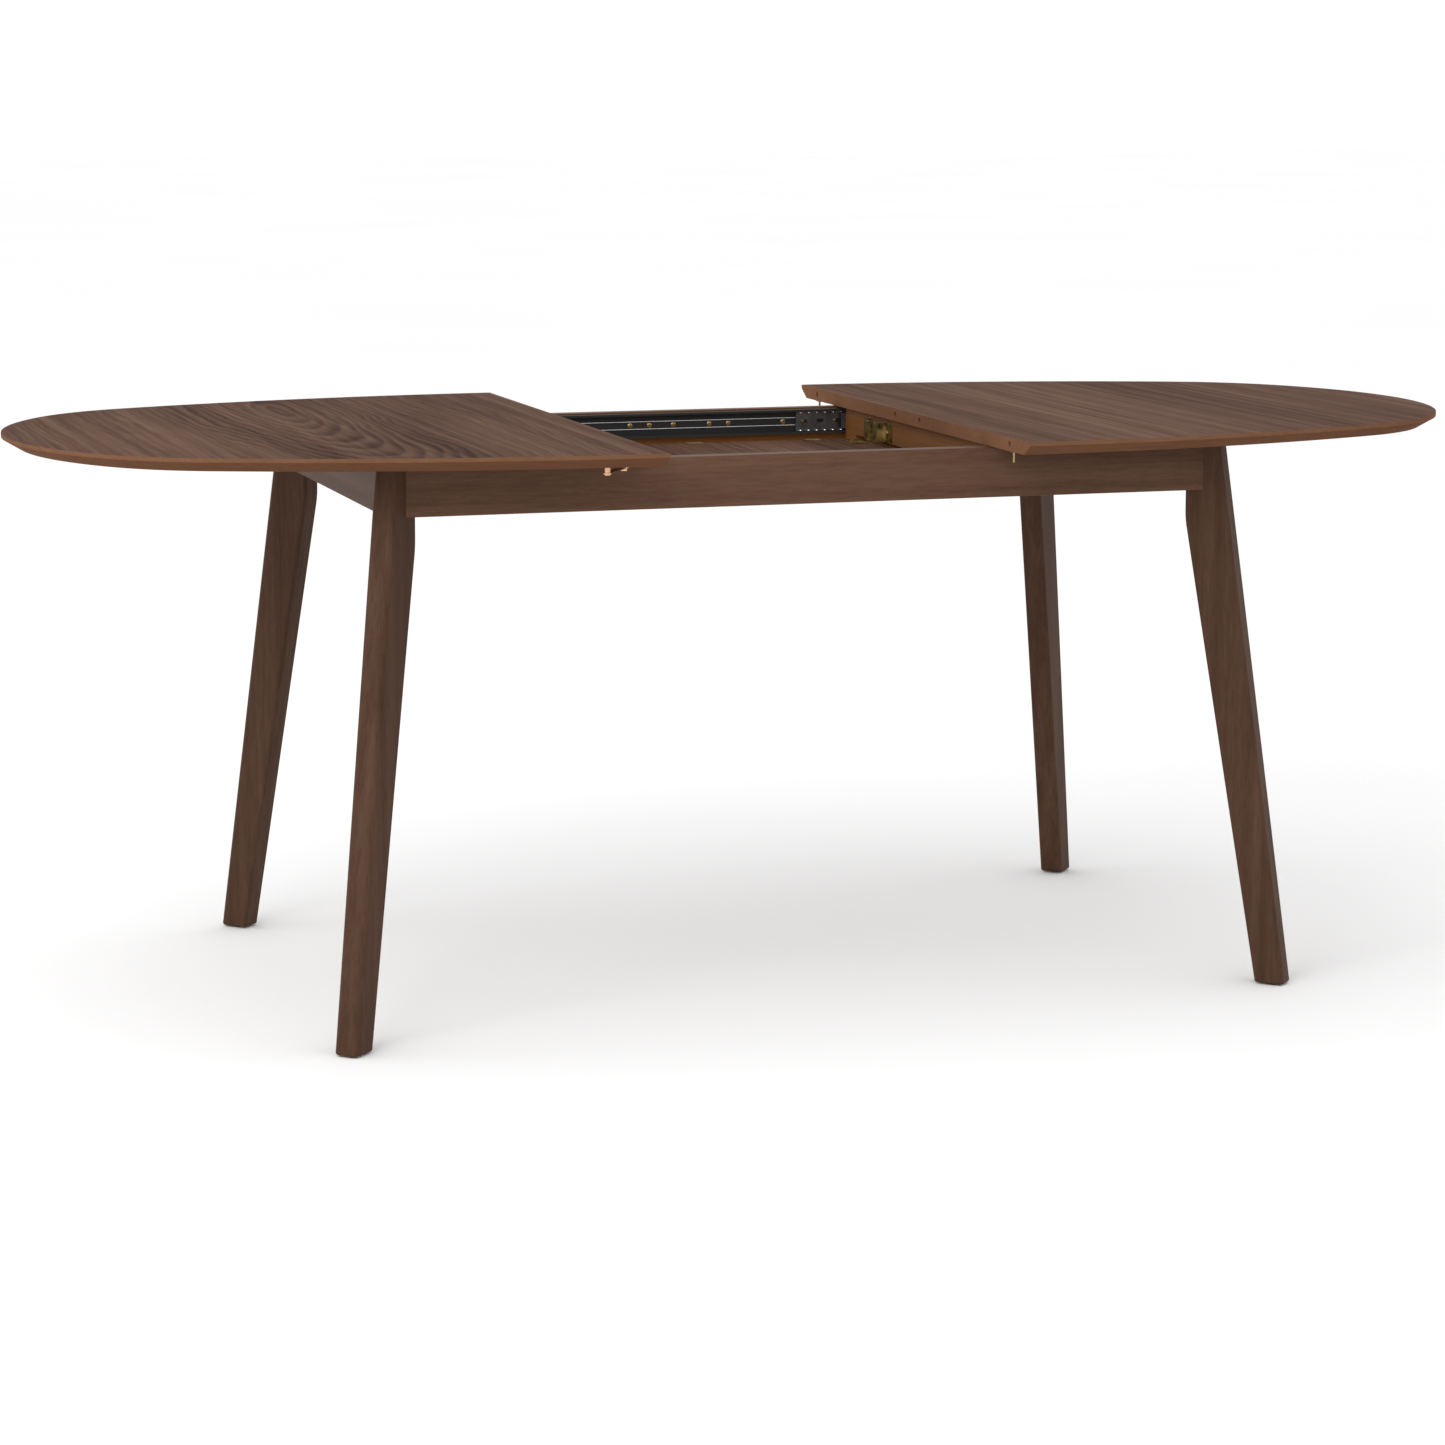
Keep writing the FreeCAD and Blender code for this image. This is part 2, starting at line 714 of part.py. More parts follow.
def ball_spots():
    """x places of the balls, evenly along the cage."""
    pitch = size("cage_length") / BALLS_IN_ROW
    return [size("cage_start") + pitch * (i + 0.5) for i in range(BALLS_IN_ROW)]


def ball_cage(label, placement):
    """Sheet-steel retainer: windows in the web, a round seat for every ball."""
    blank = member(label, cage_profile(), "cage_start", "cage_length", placement)
    windows = new_sketch(blank, "XZ_Plane")
    count = 6
    for i in range(count):
        middle = "(cage_start + cage_length * %.4f)" % ((i + 0.5) / count)
        draw_polygon(windows, [
            (middle + " - 4.8", CHANNEL_MID + " - 2.6"), (middle + " + 4.8", CHANNEL_MID + " - 2.6"),
            (middle + " + 4.8", CHANNEL_MID + " + 2.6"), (middle + " - 4.8", CHANNEL_MID + " + 2.6"),
        ])
    pocket(blank, windows)
    seats = []
    up = placement.Rotation.multVec(Vector(0, 0, 1))
    for i, spot in enumerate(ball_spots()):
        local = Vector(spot, value(INNER_FACE + " - ball_reach"), value(CHANNEL_MID) - 20)
        seats.append(cylinder("%s_seat_%d" % (label, i), "ball_radius + 0.1", "40",
                              placement.multVec(local), up))
    return drilled(label, blank, seats)


def cage_balls(label, placement):
    balls = []
    for i, spot in enumerate(ball_spots()):
        for sign in (-1, 1):
            ball = doc.addObject("Part::Sphere", "%s_%d_%d" % (label, i, sign + 1))
            ball.setExpression("Radius", named("ball_radius"))
            rise = value(CHANNEL_MID) + sign * size("ball_rise")
            local = Vector(spot, value(INNER_FACE + " - ball_reach"), rise)
            ball.Placement = Placement(placement.multVec(local), Rotation())
            balls.append(ball)
    return group(label, balls)


# ---------------------------------------------------------------- crossbars

BAR_SCREWS = (-205, -60, 60, 205)


def crossbar(label, start, placement, drills):
    """Bar under a half top, cut shallower in the middle to pass over the leaf."""
    body = new_body(label, placement)
    sketch = new_sketch(body, "YZ_Plane", start)
    end = "(%s - runner_reach)" % INNER_FACE
    step = "(%s - bar_end_length)" % end
    deep = UNDERSIDE + " - bar_end_depth"
    shallow = UNDERSIDE + " - bar_depth"
    draw_polygon(sketch, [
        ("-" + end, UNDERSIDE), ("-" + end, deep), ("-" + step, deep), ("-" + step, shallow),
        (step, shallow), (step, deep), (end, deep), (end, UNDERSIDE),
    ])
    pad(body, sketch, "bar_width")
    return drilled(label, body, drills)


def bar_fixings(tag, start, placement):
    """Screws up through a crossbar into its top, with their drills."""
    screws, bar_drills, top_drills = [], [], []
    up = Vector(0, 0, 1)
    for i, spot in enumerate(BAR_SCREWS):
        local = Vector(value(start + " + bar_width / 2"), spot,
                       value(UNDERSIDE + " - bar_depth + 6"))
        base = placement.multVec(local)
        name = "bar_screw_%s_%d" % (tag, i)
        screws.append(wood_screw(name, "screw_radius", "41", "sunk_radius", "sunk_height", base, up))
        bar_drills.append(cylinder(name + "_sink", "4.4", "9.5", base - up * 7, up))
        bar_drills.append(cylinder(name + "_pass", "screw_radius + screw_pass", "40", base, up))
        top_drills.append(cylinder(name + "_bed", "screw_radius + screw_fit", "41 + screw_end", base, up))
    return screws, bar_drills, top_drills


def runner_fixings(tag, start, placement):
    """Screws from inside each runner into the crossbar's ends."""
    screws, drills = [], []
    for i, sign in enumerate((-1, 1)):
        inward = placement.Rotation.multVec(Vector(0, -sign, 0))
        local = Vector(value(start + " + bar_width / 2"),
                       sign * value(INNER_FACE + " - runner_reach + gauge"), value(CHANNEL_MID))
        base = placement.multVec(local)
        name = "runner_screw_%s_%d" % (tag, i)
        screws.append(pan_screw(name, "screw_radius", "18", "pan_radius", "1.8", base, inward))
        drills.append(cylinder(name + "_bed", "screw_radius + screw_fit", "18 + screw_end", base, inward))
    return screws, drills


# ---------------------------------------------------------------- latches

SWING = 57          # degrees between the engaged hook and the pose drawn


def latch_spot(sign):
    """Pivot of a latch under the left half, on its underside."""
    return Vector(-value("leaf_length / 2 + latch_pivot"), sign * size("latch_place"),
                  value(UNDERSIDE))


def latch_plate(name, sign):
    body = new_body(name, Placement(latch_spot(sign), Rotation()))
    sketch = new_sketch(body, "XY_Plane")
    draw_polygon(sketch, [("-20", "-8"), ("12", "-8"), ("12", "8"), ("-20", "8")])
    pad(body, sketch, "latch_plate", back=True)
    round_edges(body, "3", lambda e: e.BoundBox.ZLength > 1 and e.BoundBox.YLength < 0.01)
    return body


def latch_lever(label, sign):
    """Flat swinging hook, drawn swung inwards, clear of the keeper."""
    spot = latch_spot(sign) - Vector(0, 0, size("latch_drop"))
    body = new_body(label, Placement(spot, Rotation(Vector(0, 0, 1), -sign * SWING)))
    seat = "(latch_reach + 0.4)"
    outline = [
        ("-6", "-3"), ("-3", "-6"), ("3", "-6"), ("9", "-5"),
        (seat + " - 2.3", "-5"), (seat + " - 2.3", "2"), (seat + " + 2.3", "2"),
        (seat + " + 2.3", "-6"), (seat + " + 5", "-7"), (seat + " + 7", "-4"),
        (seat + " + 7", "4"), (seat + " + 4", "7"), (seat + " - 4", "7"),
        (seat + " - 8", "5"), ("9", "5"), ("3", "6"), ("-3", "6"), ("-6", "3"),
    ]
    if sign > 0:
        outline = [(across, "-(%s)" % rise) for across, rise in reversed(outline)]
    sketch = new_sketch(body, "XY_Plane")
    draw_polygon(sketch, outline)
    pad(body, sketch, "latch_plate")
    eye = new_sketch(body, "XY_Plane")
    draw_circle(eye, "0", "0", "2.6")
    pocket(body, eye)
    tab = new_sketch(body, "XY_Plane")
    draw_polygon(tab, [(seat + " + 5.5", "-4"), (seat + " + 7", "-4"), (seat + " + 7", "4"),
                       (seat + " + 5.5", "4")])
    pad(body, tab, "4", back=True)
    return body


def latch_rivet(name, sign):
    """Shouldered rivet that the lever turns on."""
    top = latch_spot(sign)
    down = Vector(0, 0, -1)
    shank = cylinder(name + "_shank", "2.5", "latch_drop + latch_play + 1", top, down)
    shoulder = cylinder(name + "_shoulder", "4.2",
                        "latch_drop - 2 * latch_plate - latch_play",
                        top + down * size("latch_plate"), down)
    start = top + down * value("latch_drop + latch_play")
    head = cylinder(name + "_head", "4.2", "1.5", start, down)
    return fused(name, [shank, shoulder, head])


def keeper(name, sign):
    """Stud under the right half that the hook closes round."""
    top = Vector(value("leaf_length / 2 + latch_reach - latch_pivot"), sign * size("latch_place"),
                 value(UNDERSIDE))
    body = new_body(name, Placement(top, Rotation()))
    base = new_sketch(body, "XY_Plane")
    draw_polygon(base, [("-3.5", "-6"), ("24", "-6"), ("24", "6"), ("-3.5", "6")])
    pad(body, base, "latch_plate", back=True)
    stud = new_sketch(body, "XY_Plane")
    draw_circle(stud, "0", "0", "keeper_radius")
    pad(body, stud, "latch_drop + 2", back=True)
    return body


def plate_screw(name, base):
    """Small countersunk screw up into a top, with its drill."""
    up = Vector(0, 0, 1)
    screw = wood_screw(name, "1.5", "14", "3", "1.5", base, up)
    sink = cone(name + "_sink", "3.05", "1.55", "1.5", base, up)
    bed = cylinder(name + "_bed", "1.55", "15", base, up)
    return screw, fused(name + "_drill", [sink, bed])


def plate_screws(name, foot, spots):
    screws, drills = [], []
    for i, (across, deep) in enumerate(spots):
        base = foot + Vector(across, deep, -size("latch_plate"))
        screw, drill = plate_screw("%s_%d" % (name, i), base)
        screws.append(screw)
        drills.append(drill)
    return screws, drills


def build_latches():
    """Latches on the left half, keepers on the right; returns each top's drills."""
    plates, rivets, keepers = [], [], []
    latch_screws, keeper_screws, left, right = [], [], [], []
    for side, sign in (("front", -1), ("back", 1)):
        spot = latch_spot(sign)
        screws, drills = plate_screws("latch_screw_" + side, spot, ((-15, 0), (8, 4)))
        latch_screws.extend(screws)
        left.extend(drills)
        rivet_hole = cylinder("rivet_hole_" + side, "2.55", "4", spot - Vector(0, 0, 3),
                              Vector(0, 0, 1))
        plate = latch_plate("plate_" + side, sign)
        plates.append(drilled("bored_plate_" + side, plate, drills + [rivet_hole]))
        latch_lever("latch_lever_" + side, sign)
        rivets.append(latch_rivet("rivet_" + side, sign))
        stud = keeper("stud_" + side, sign)
        screws, drills = plate_screws("keeper_screw_" + side, stud.Placement.Base,
                                      ((12, 0), (20, 0)))
        keeper_screws.extend(screws)
        right.extend(drills)
        keepers.append(drilled("bored_stud_" + side, stud, drills))
    group("latch_plates", plates)
    group("latch_rivets", rivets)
    group("latch_screws", latch_screws)
    group("keepers", keepers)
    group("keeper_screws", keeper_screws)
    return left, right


# ---------------------------------------------------------------- stored leaf

def draw_leaf(sketch, inset):
    """Half leaf's plan: fold line at y 0, its far end a part of the oval's long side."""
    half = value("leaf_length / 2")
    radius = value("side_arc_radius - (%s)" % inset)
    centre_y = value("side_arc_radius - top_width / 2")
    corner = centre_y - sqrt(radius ** 2 - half ** 2)
    tilt = atan2(sqrt(radius ** 2 - half ** 2), half)
    sketch.addGeometry(Part.LineSegment(Vector(-half, corner, 0), Vector(-half, 0, 0)), False)
    sketch.addGeometry(Part.LineSegment(Vector(-half, 0, 0), Vector(half, 0, 0)), False)
    sketch.addGeometry(Part.LineSegment(Vector(half, 0, 0), Vector(half, corner, 0)), False)
    sketch.addGeometry(arc(Vector(0, centre_y, 0), radius, tilt - pi, -tilt), False)
    for i in range(2):
        sketch.addConstraint(Sketcher.Constraint("Coincident", i, 2, i + 1, 1))
    sketch.addConstraint(Sketcher.Constraint("Coincident", 2, 2, 3, 2))
    sketch.addConstraint(Sketcher.Constraint("Coincident", 3, 1, 0, 1))
    sketch.addConstraint(Sketcher.Constraint("Vertical", 0))
    sketch.addConstraint(Sketcher.Constraint("Vertical", 2))
    pin_point(sketch, 0, 2, "-leaf_length / 2", "0")
    pin_point(sketch, 1, 2, "leaf_length / 2", "0")
    pin_point(sketch, 3, 3, "0", "side_arc_radius - top_width / 2")
    place = sketch.addConstraint(Sketcher.Constraint("Radius", 3, radius))
    sketch.setExpression("Constraints[%d]" % place, named("side_arc_radius - (%s)" % inset))


HINGES = (-177, 0, 177)


def leaf_frame(upper):
    """Place of a leaf half in the folded stack; the upper one lies top face down."""
    fold = Vector(0, value("top_width / 4"), value(LEAF_FOOT))
    if upper:
        return Placement(fold + Vector(0, 0, 2 * size("top_thick")),
                         Rotation(Vector(0, 1, 0), 180))
    return Placement(fold, Rotation())


HINGE_WIDTH = 24
KNUCKLE = 3.9       # half width of a hinge's middle knuckle


def hinge_strap(name, spot, upper):
    """Brass strap over a leaf half's outer face, with its share of the knuckles."""
    height = value(LEAF_FOOT + " + top_thick")
    place = Placement(Vector(spot, value("top_width / 4"), height),
                      Rotation(Vector(0, 1, 0), 0 if upper else 180))
    body = new_body(name + "_strap", place)
    sketch = new_sketch(body, "YZ_Plane", "-%d / 2" % HINGE_WIDTH)
    draw_polygon(sketch, [
        ("-15", "top_thick"), ("0", "top_thick"), ("0", "2.8"), ("1.2", "2.8"),
        ("1.2", "top_thick + 1.2"), ("-15", "top_thick + 1.2"),
    ])
    pad(body, sketch, str(HINGE_WIDTH))
    if upper:
        spans = ((-HINGE_WIDTH / 2, -KNUCKLE - 0.3), (KNUCKLE + 0.3, HINGE_WIDTH / 2))
    else:
        spans = ((-KNUCKLE, KNUCKLE),)
    pieces = [body]
    for i, (start, finish) in enumerate(spans):
        tab = doc.addObject("Part::Box", "%s_tab_%d" % (name, i))
        tab.Length = finish - start
        tab.Width = 1.2
        tab.Height = 3
        tab.Placement = place.multiply(Placement(Vector(start, 0, 0), Rotation()))
        barrel = cylinder("%s_barrel_%d" % (name, i), "2.3", str(finish - start),
                          place.multVec(Vector(start, 2.5, 0)),
                          place.Rotation.multVec(Vector(1, 0, 0)))
        pieces.extend([tab, barrel])
    return fused(name + "_whole", pieces), place


def leaf_screw(name, base, down):
    """Small countersunk screw into the leaf, with its drill."""
    screw = wood_screw(name, "1.4", "12", "2.6", "1.2", base, down)
    sink = cone(name + "_sink", "2.65", "1.45", "1.2", base, down)
    bed = cylinder(name + "_bed", "1.45", "13", base, down)
    return screw, fused(name + "_drill", [sink, bed])


def build_hinges():
    """Three wrap-round hinges on the fold; returns screws and each half's drills."""
    straps, pins, screws = [], [], []
    drills = {True: [], False: []}
    for i, spot in enumerate(HINGES):
        line = Vector(spot - HINGE_WIDTH / 2, value("top_width / 4") + 2.5,
                      value(LEAF_FOOT + " + top_thick"))
        pins.append(cylinder("hinge_pin_%d" % i, "1.3", str(HINGE_WIDTH), line, Vector(1, 0, 0)))
        pin_hole = cylinder("hinge_hole_%d" % i, "1.35", "%d + 2" % HINGE_WIDTH,
                            line - Vector(1, 0, 0), Vector(1, 0, 0))
        for upper in (True, False):
            name = "hinge_%d_%s" % (i, "upper" if upper else "lower")
            strap, place = hinge_strap(name, spot, upper)
            down = place.Rotation.multVec(Vector(0, 0, -1))
            cuts = []
            for j, aside in enumerate((-7, 7)):
                base = place.multVec(Vector(aside, -9, value("top_thick + 1.2")))
                screw, drill = leaf_screw("%s_screw_%d" % (name, j), base, down)
                screws.append(screw)
                cuts.append(drill)
            drills[upper].extend(cuts)
            straps.append(drilled(name, strap, cuts + [pin_hole]))
    group("hinge_straps", straps)
    group("hinge_pins", pins)
    return screws, drills


def build_leaf_dowels():
    """Dowels on the leaf's right edges; returns each half's seats and bores."""
    pegs, bores = [], {True: [], False: []}
    right = Vector(1, 0, 0)
    for upper in (True, False):
        height = value(LEAF_FOOT + (" + 1.5 * top_thick" if upper else " + top_thick / 2"))
        for alias in ("dowel_near", "dowel_far"):
            line = value("top_width / 4") - size(alias)
            name = "%s_%s" % (alias, "upper" if upper else "lower")
            edge = Vector(value("leaf_length / 2"), line, height)
            proud = right * size("dowel_proud")
            pegs.append(cylinder("leaf_peg_" + name, "dowel_radius", "2 * dowel_proud",
                                 edge - proud, right))
            bores[upper].append(cylinder("leaf_seat_" + name, "dowel_radius + 0.02",
                                         "dowel_proud + 3", edge - proud - right, right))
            far = Vector(-edge.x - 1, line, height)
            bores[upper].append(cylinder("leaf_bore_" + name, "bore_radius", "bore_depth + 1",
                                         far, right))
    group("leaf_dowels", pegs)
    return bores


LEAF_PLATE = 174    # the leaf's steel plates, along its cut edges


def build_leaf():
    screws, drills = build_hinges()
    bores = build_leaf_dowels()
    plates, plate_drills = [], []
    down = Vector(0, 0, -1)
    for side in (-1, 1):
        spot = Vector(side * value("leaf_length / 2 - 13"), side * LEAF_PLATE, value(LEAF_FACE))
        body = new_body("leaf_plate_blank_%d" % (side + 1), Placement(spot, Rotation()))
        sketch = new_sketch(body, "XY_Plane")
        draw_polygon(sketch, [("-11", "-25"), ("11", "-25"), ("11", "25"), ("-11", "25")])
        pad(body, sketch, "1.5")
        cuts = []
        for j, along in enumerate((-14, 14)):
            name = "leaf_plate_screw_%d_%d" % (side + 1, j)
            screw, drill = leaf_screw(name, spot + Vector(0, along, 1.5), down)
            screws.append(screw)
            cuts.append(drill)
        plate_drills.extend(cuts)
        plates.append(drilled("leaf_plate_%d" % (side + 1), body, cuts))
    group("leaf_plates", plates)
    group("leaf_screws", screws)
    drills[True].extend(plate_drills)
    for label, upper in (("leaf_half_lower", False), ("leaf_half_upper", True)):
        board = bevelled_board(label, leaf_frame(upper), draw_leaf)
        drilled(label, board, bores[upper] + drills[upper])


# ---------------------------------------------------------------- leaf supports

HANGERS = (-100, 100)


def stretcher(label, placement, drills):
    """Cross rail between the long aprons, low at its ends for the crossbars."""
    body = new_body(label, placement)
    sketch = new_sketch(body, "YZ_Plane", "stretcher_place")
    end = INNER_FACE
    step = "(%s - runner_reach - bar_end_length - 10)" % INNER_FACE
    low = APRON_FOOT + " + stretcher_end_height"
    high = APRON_FOOT + " + stretcher_height"
    draw_polygon(sketch, [
        ("-" + end, APRON_FOOT), (end, APRON_FOOT), (end, low), (step, low), (step, high),
        ("-" + step, high), ("-" + step, low), ("-" + end, low),
    ])
    pad(body, sketch, "stretcher_thick")
    return drilled(label, body, drills)


def hanger(name, placement):
    """Steel angle on a stretcher; its lip carries the folded leaf."""
    body = new_body(name, placement)
    sketch = new_sketch(body, "XZ_Plane")
    back = "(stretcher_place - hanger_gauge)"
    lip = "(leaf_length / 2 - hanger_lip)"
    top = APRON_FOOT + " + 20"
    under = LEAF_FOOT + " - hanger_gauge"
    draw_polygon(sketch, [
        ("stretcher_place", under), ("stretcher_place", top), (back, top), (back, LEAF_FOOT),
        (lip, LEAF_FOOT), (lip, under),
    ])
    pad(body, sketch, "hanger_width", middle=True)
    return body


def hanger_set(side, place):
    """The two hangers of one stretcher with their screws and drills."""
    hangers, screws, drills = [], [], []
    outward = place.Rotation.multVec(Vector(1, 0, 0))
    for i, spot in enumerate(HANGERS):
        seat = Placement(place.multVec(Vector(0, spot, 0)), place.Rotation)
        body = hanger("hanger_%s_%d" % (side, i), seat)
        cuts = []
        for j, aside in enumerate((-8, 8)):
            base = place.multVec(Vector(value("stretcher_place - hanger_gauge"), spot + aside,
                                        value(APRON_FOOT + " + 12")))
            name = "hanger_screw_%s_%d_%d" % (side, i, j)
            screws.append(pan_screw(name, "screw_radius", "16", "pan_radius", "1.5", base, outward))
            hole = cylinder(name + "_bed", "screw_radius + screw_fit", "16 + screw_end", base, outward)
            cuts.append(hole)
        drills.extend(cuts)
        hangers.append(drilled("bored_hanger_%s_%d" % (side, i), body, cuts))
    return hangers, screws, drills


def build_supports():
    """Stretchers and leaf hangers; returns screws and each long apron's drills."""
    pegs, hangers, screws = [], [], []
    apron_drills = {"front_apron": [], "back_apron": []}
    for side, angle in (("right", 0), ("left", 180)):
        place = turned(angle)
        rail_drills = []
        for sign in (-1, 1):
            out = place.Rotation.multVec(Vector(0, sign, 0))
            end = place.multVec(Vector(value("stretcher_place + stretcher_thick / 2"),
                                       sign * value(INNER_FACE), value(APRON_FOOT + " + 6")))
            name = "rail_dowel_%s_%d" % (side, sign + 1)
            pegs.append(cylinder(name, "3.5", "32", end - out * 18, out))
            bed = cylinder(name + "_bed", "3.52", "33", end - out * 18.5, out)
            rail_drills.append(bed)
            apron_drills["front_apron" if out.y < 0 else "back_apron"].append(bed)
        brackets, fixings, drills = hanger_set(side, place)
        hangers.extend(brackets)
        screws.extend(fixings)
        stretcher("stretcher_" + side, place, rail_drills + drills)
    group("stretcher_dowels", pegs)
    group("leaf_hangers", hangers)
    return screws, apron_drills


# ---------------------------------------------------------------- folded bracket

BRACKET = 140       # the bracket's place across a crossbar


def build_bracket(tag, place):
    """Zinc plate folded into a hat on one inner crossbar; returns screws and drills."""
    corner = place.multVec(Vector(value("leaf_length / 2 + bar_setback"), BRACKET,
                                  value(UNDERSIDE + " - bar_depth + 1")))
    body = new_body("hat_" + tag, Placement(corner, place.Rotation))
    sketch = new_sketch(body, "XY_Plane")
    near = [("0", 56), ("0", 31), ("-10.8", 24), ("-10.8", 9), ("-4.4", 0)]
    back = [("-1.2", 56), ("-1.2", 31.8), ("-12", 25), ("-12", 8.2), ("-6.2", 0)]
    outline = [(x, "-%s" % y) for x, y in near[:4]] + [(x, str(y)) for x, y in reversed(near)]
    outline += [(x, str(y)) for x, y in back] + [(x, "-%s" % y) for x, y in reversed(back[:4])]
    draw_polygon(sketch, outline)
    pad(body, sketch, "28")
    outward = place.Rotation.multVec(Vector(1, 0, 0))
    screws, drills = [], []
    for i, aside in enumerate((-39, 39)):
        base = corner + place.Rotation.multVec(Vector(-1.2, aside, 14))
        name = "hat_screw_%s_%d" % (tag, i)
        screws.append(pan_screw(name, "screw_radius", "18", "pan_radius", "1.8", base, outward))
        drills.append(cylinder(name + "_bed", "screw_radius + screw_fit", "18 + screw_end", base, outward))
    drilled("bracket_" + tag, body, drills)
    return screws, drills


# ---------------------------------------------------------------- whole table

def flipped():
    """Half turn about the lengthways line through the middle of the slides."""
    return Placement(Vector(0, 0, value("2 * " + CHANNEL_MID)), Rotation(Vector(1, 0, 0), 180))


def slide_places():
    """Frames of the four slides; each carries the right back one's sections."""
    return (("right", "back", Placement()), ("left", "front", turned(180)),
            ("right", "front", flipped()), ("left", "back", turned(180).multiply(flipped())))


def build_half(tag, place, extra_drills):
    """Crossbars, bracket and fixings of one half; returns all runner drills."""
    bar_screws, round_screws, top_drills, runner_drills = [], [], list(extra_drills), []
    bracket_screws, bracket_drills = build_bracket(tag, place)
    round_screws.extend(bracket_screws)
    starts = (("inner", "(leaf_length / 2 + bar_setback)"),
              ("outer", "(leaf_length / 2 + bar_setback + bar_pitch)"))
    for row, start in starts:
        name = "%s_%s" % (tag, row)
        screws, drills, beds = bar_fixings(name, start, place)
        bar_screws.extend(screws)
        top_drills.extend(beds)
        screws, ends = runner_fixings(name, start, place)
        round_screws.extend(screws)
        runner_drills.extend(ends)
        extra = bracket_drills if row == "inner" else []
        crossbar("crossbar_" + name, start, place, drills + ends + extra)
    group("crossbar_screws_" + tag, bar_screws)
    group("round_screws_" + tag, round_screws)
    corner = place.multVec(Vector(value("leaf_length / 2"), 0, value(UNDERSIDE)))
    body = bevelled_board("top_" + tag, Placement(corner, place.Rotation), draw_half_oval)
    drilled("top_" + tag, body, top_drills)
    return runner_drills


def build_tops():
    """Both halves with their latches, dowels and bores, and the runners under them."""
    left_drills, right_drills = build_latches()
    pegs = []
    right = Vector(1, 0, 0)
    for i, spot in enumerate(cut_spots(-1)):
        base = spot - right * size("dowel_proud")
        pegs.append(cylinder("peg_%d" % i, "dowel_radius", "2 * dowel_proud", base, right))
        left_drills.append(cylinder("peg_seat_%d" % i, "dowel_radius + 0.02", "dowel_proud + 3",
                                    base - right, right))
    group("top_dowels", pegs)
    for i, spot in enumerate(cut_spots(1)):
        right_drills.append(cylinder("bore_%d" % i, "bore_radius", "bore_depth + 1", spot - right,
                                     right))
    runner_drills = build_half("left", turned(180), left_drills)
    runner_drills += build_half("right", turned(0), right_drills)
    for tag, side, place in slide_places():
        runner = member("runner_%s_%s" % (tag, side), channel_profile(False), "runner_start",
                        "runner_length", place)
        middle = place.multVec(Vector(value("runner_start"), value(INNER_FACE), 0))
        near = [drill for drill in runner_drills if drill.Placement.Base.x * middle.x > 0
                and drill.Placement.Base.y * middle.y > 0]
        drilled("runner_%s_%s" % (tag, side), runner, near)
        ball_cage("ball_cage_%s_%s" % (tag, side), place)
        cage_balls("cage_balls_%s_%s" % (tag, side), place)


def build_frame():
    apron_drills = build_corners()
    round_screws, rail_drills = build_supports()
    for apron, angle in (("back_apron", 0), ("front_apron", 180)):
        channel = "slide_channel_" + apron.split("_")[0]
        slide_channel(channel, turned(angle))
        screws, beds = channel_screws(channel + "_screw", turned(angle))
        round_screws.extend(screws)
        long_apron(apron, turned(angle), apron_drills[apron] + rail_drills[apron] + beds)
    group("frame_round_screws", round_screws)
    end_apron("right_apron", turned(0), apron_drills["right_apron"])
    end_apron("left_apron", turned(180), apron_drills["left_apron"])


SIDES = ("left", "right")
ENDS = ("front", "back")
NODES = ["top_" + side for side in SIDES]
NODES += ["crossbar_%s_%s" % (side, row) for side in SIDES for row in ("inner", "outer")]
NODES += ["%s_%s_%s" % (kind, side, end) for kind in ("runner", "ball_cage", "cage_balls")
          for side in SIDES for end in ENDS]
NODES += ["%s_%s" % (kind, side) for kind in ("crossbar_screws", "round_screws", "bracket",
                                              "stretcher") for side in SIDES]
NODES += ["top_dowels", "latch_plates", "latch_rivets", "latch_screws", "keepers",
          "keeper_screws", "latch_lever_front", "latch_lever_back"]
NODES += ["front_apron", "back_apron", "left_apron", "right_apron"]
NODES += ["leg_" + name for name, _, _, _ in CORNERS]
NODES += ["corner_blocks", "corner_bolts", "corner_nuts", "corner_washers", "block_screws",
          "foot_glides", "slide_channel_front", "slide_channel_back", "frame_round_screws",
          "stretcher_dowels", "leaf_hangers", "leaf_half_lower", "leaf_half_upper",
          "hinge_straps", "hinge_pins", "leaf_dowels", "leaf_plates", "leaf_screws"]


def check():
    for item in doc.Objects:
        if "Invalid" in item.State or "Error" in item.State:
            raise ValueError("%s: %s" % (item.Label, item.State))


def export():
    os.makedirs("parts", exist_ok=True)
    for name in NODES:
        found = doc.getObjectsByLabel(name)
        if len(found) != 1:
            raise ValueError("%s: %d objects" % (name, len(found)))
        shape = found[0].Shape
        if shape.isNull() or not shape.isValid():
            raise ValueError(name + ": bad shape")
        shape.exportStep("parts/%s.step" % name)


build_frame()
build_tops()
build_leaf()
doc.recompute()
check()
export()
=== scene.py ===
import math

import bmesh
import bpy
from mathutils import Matrix, Vector


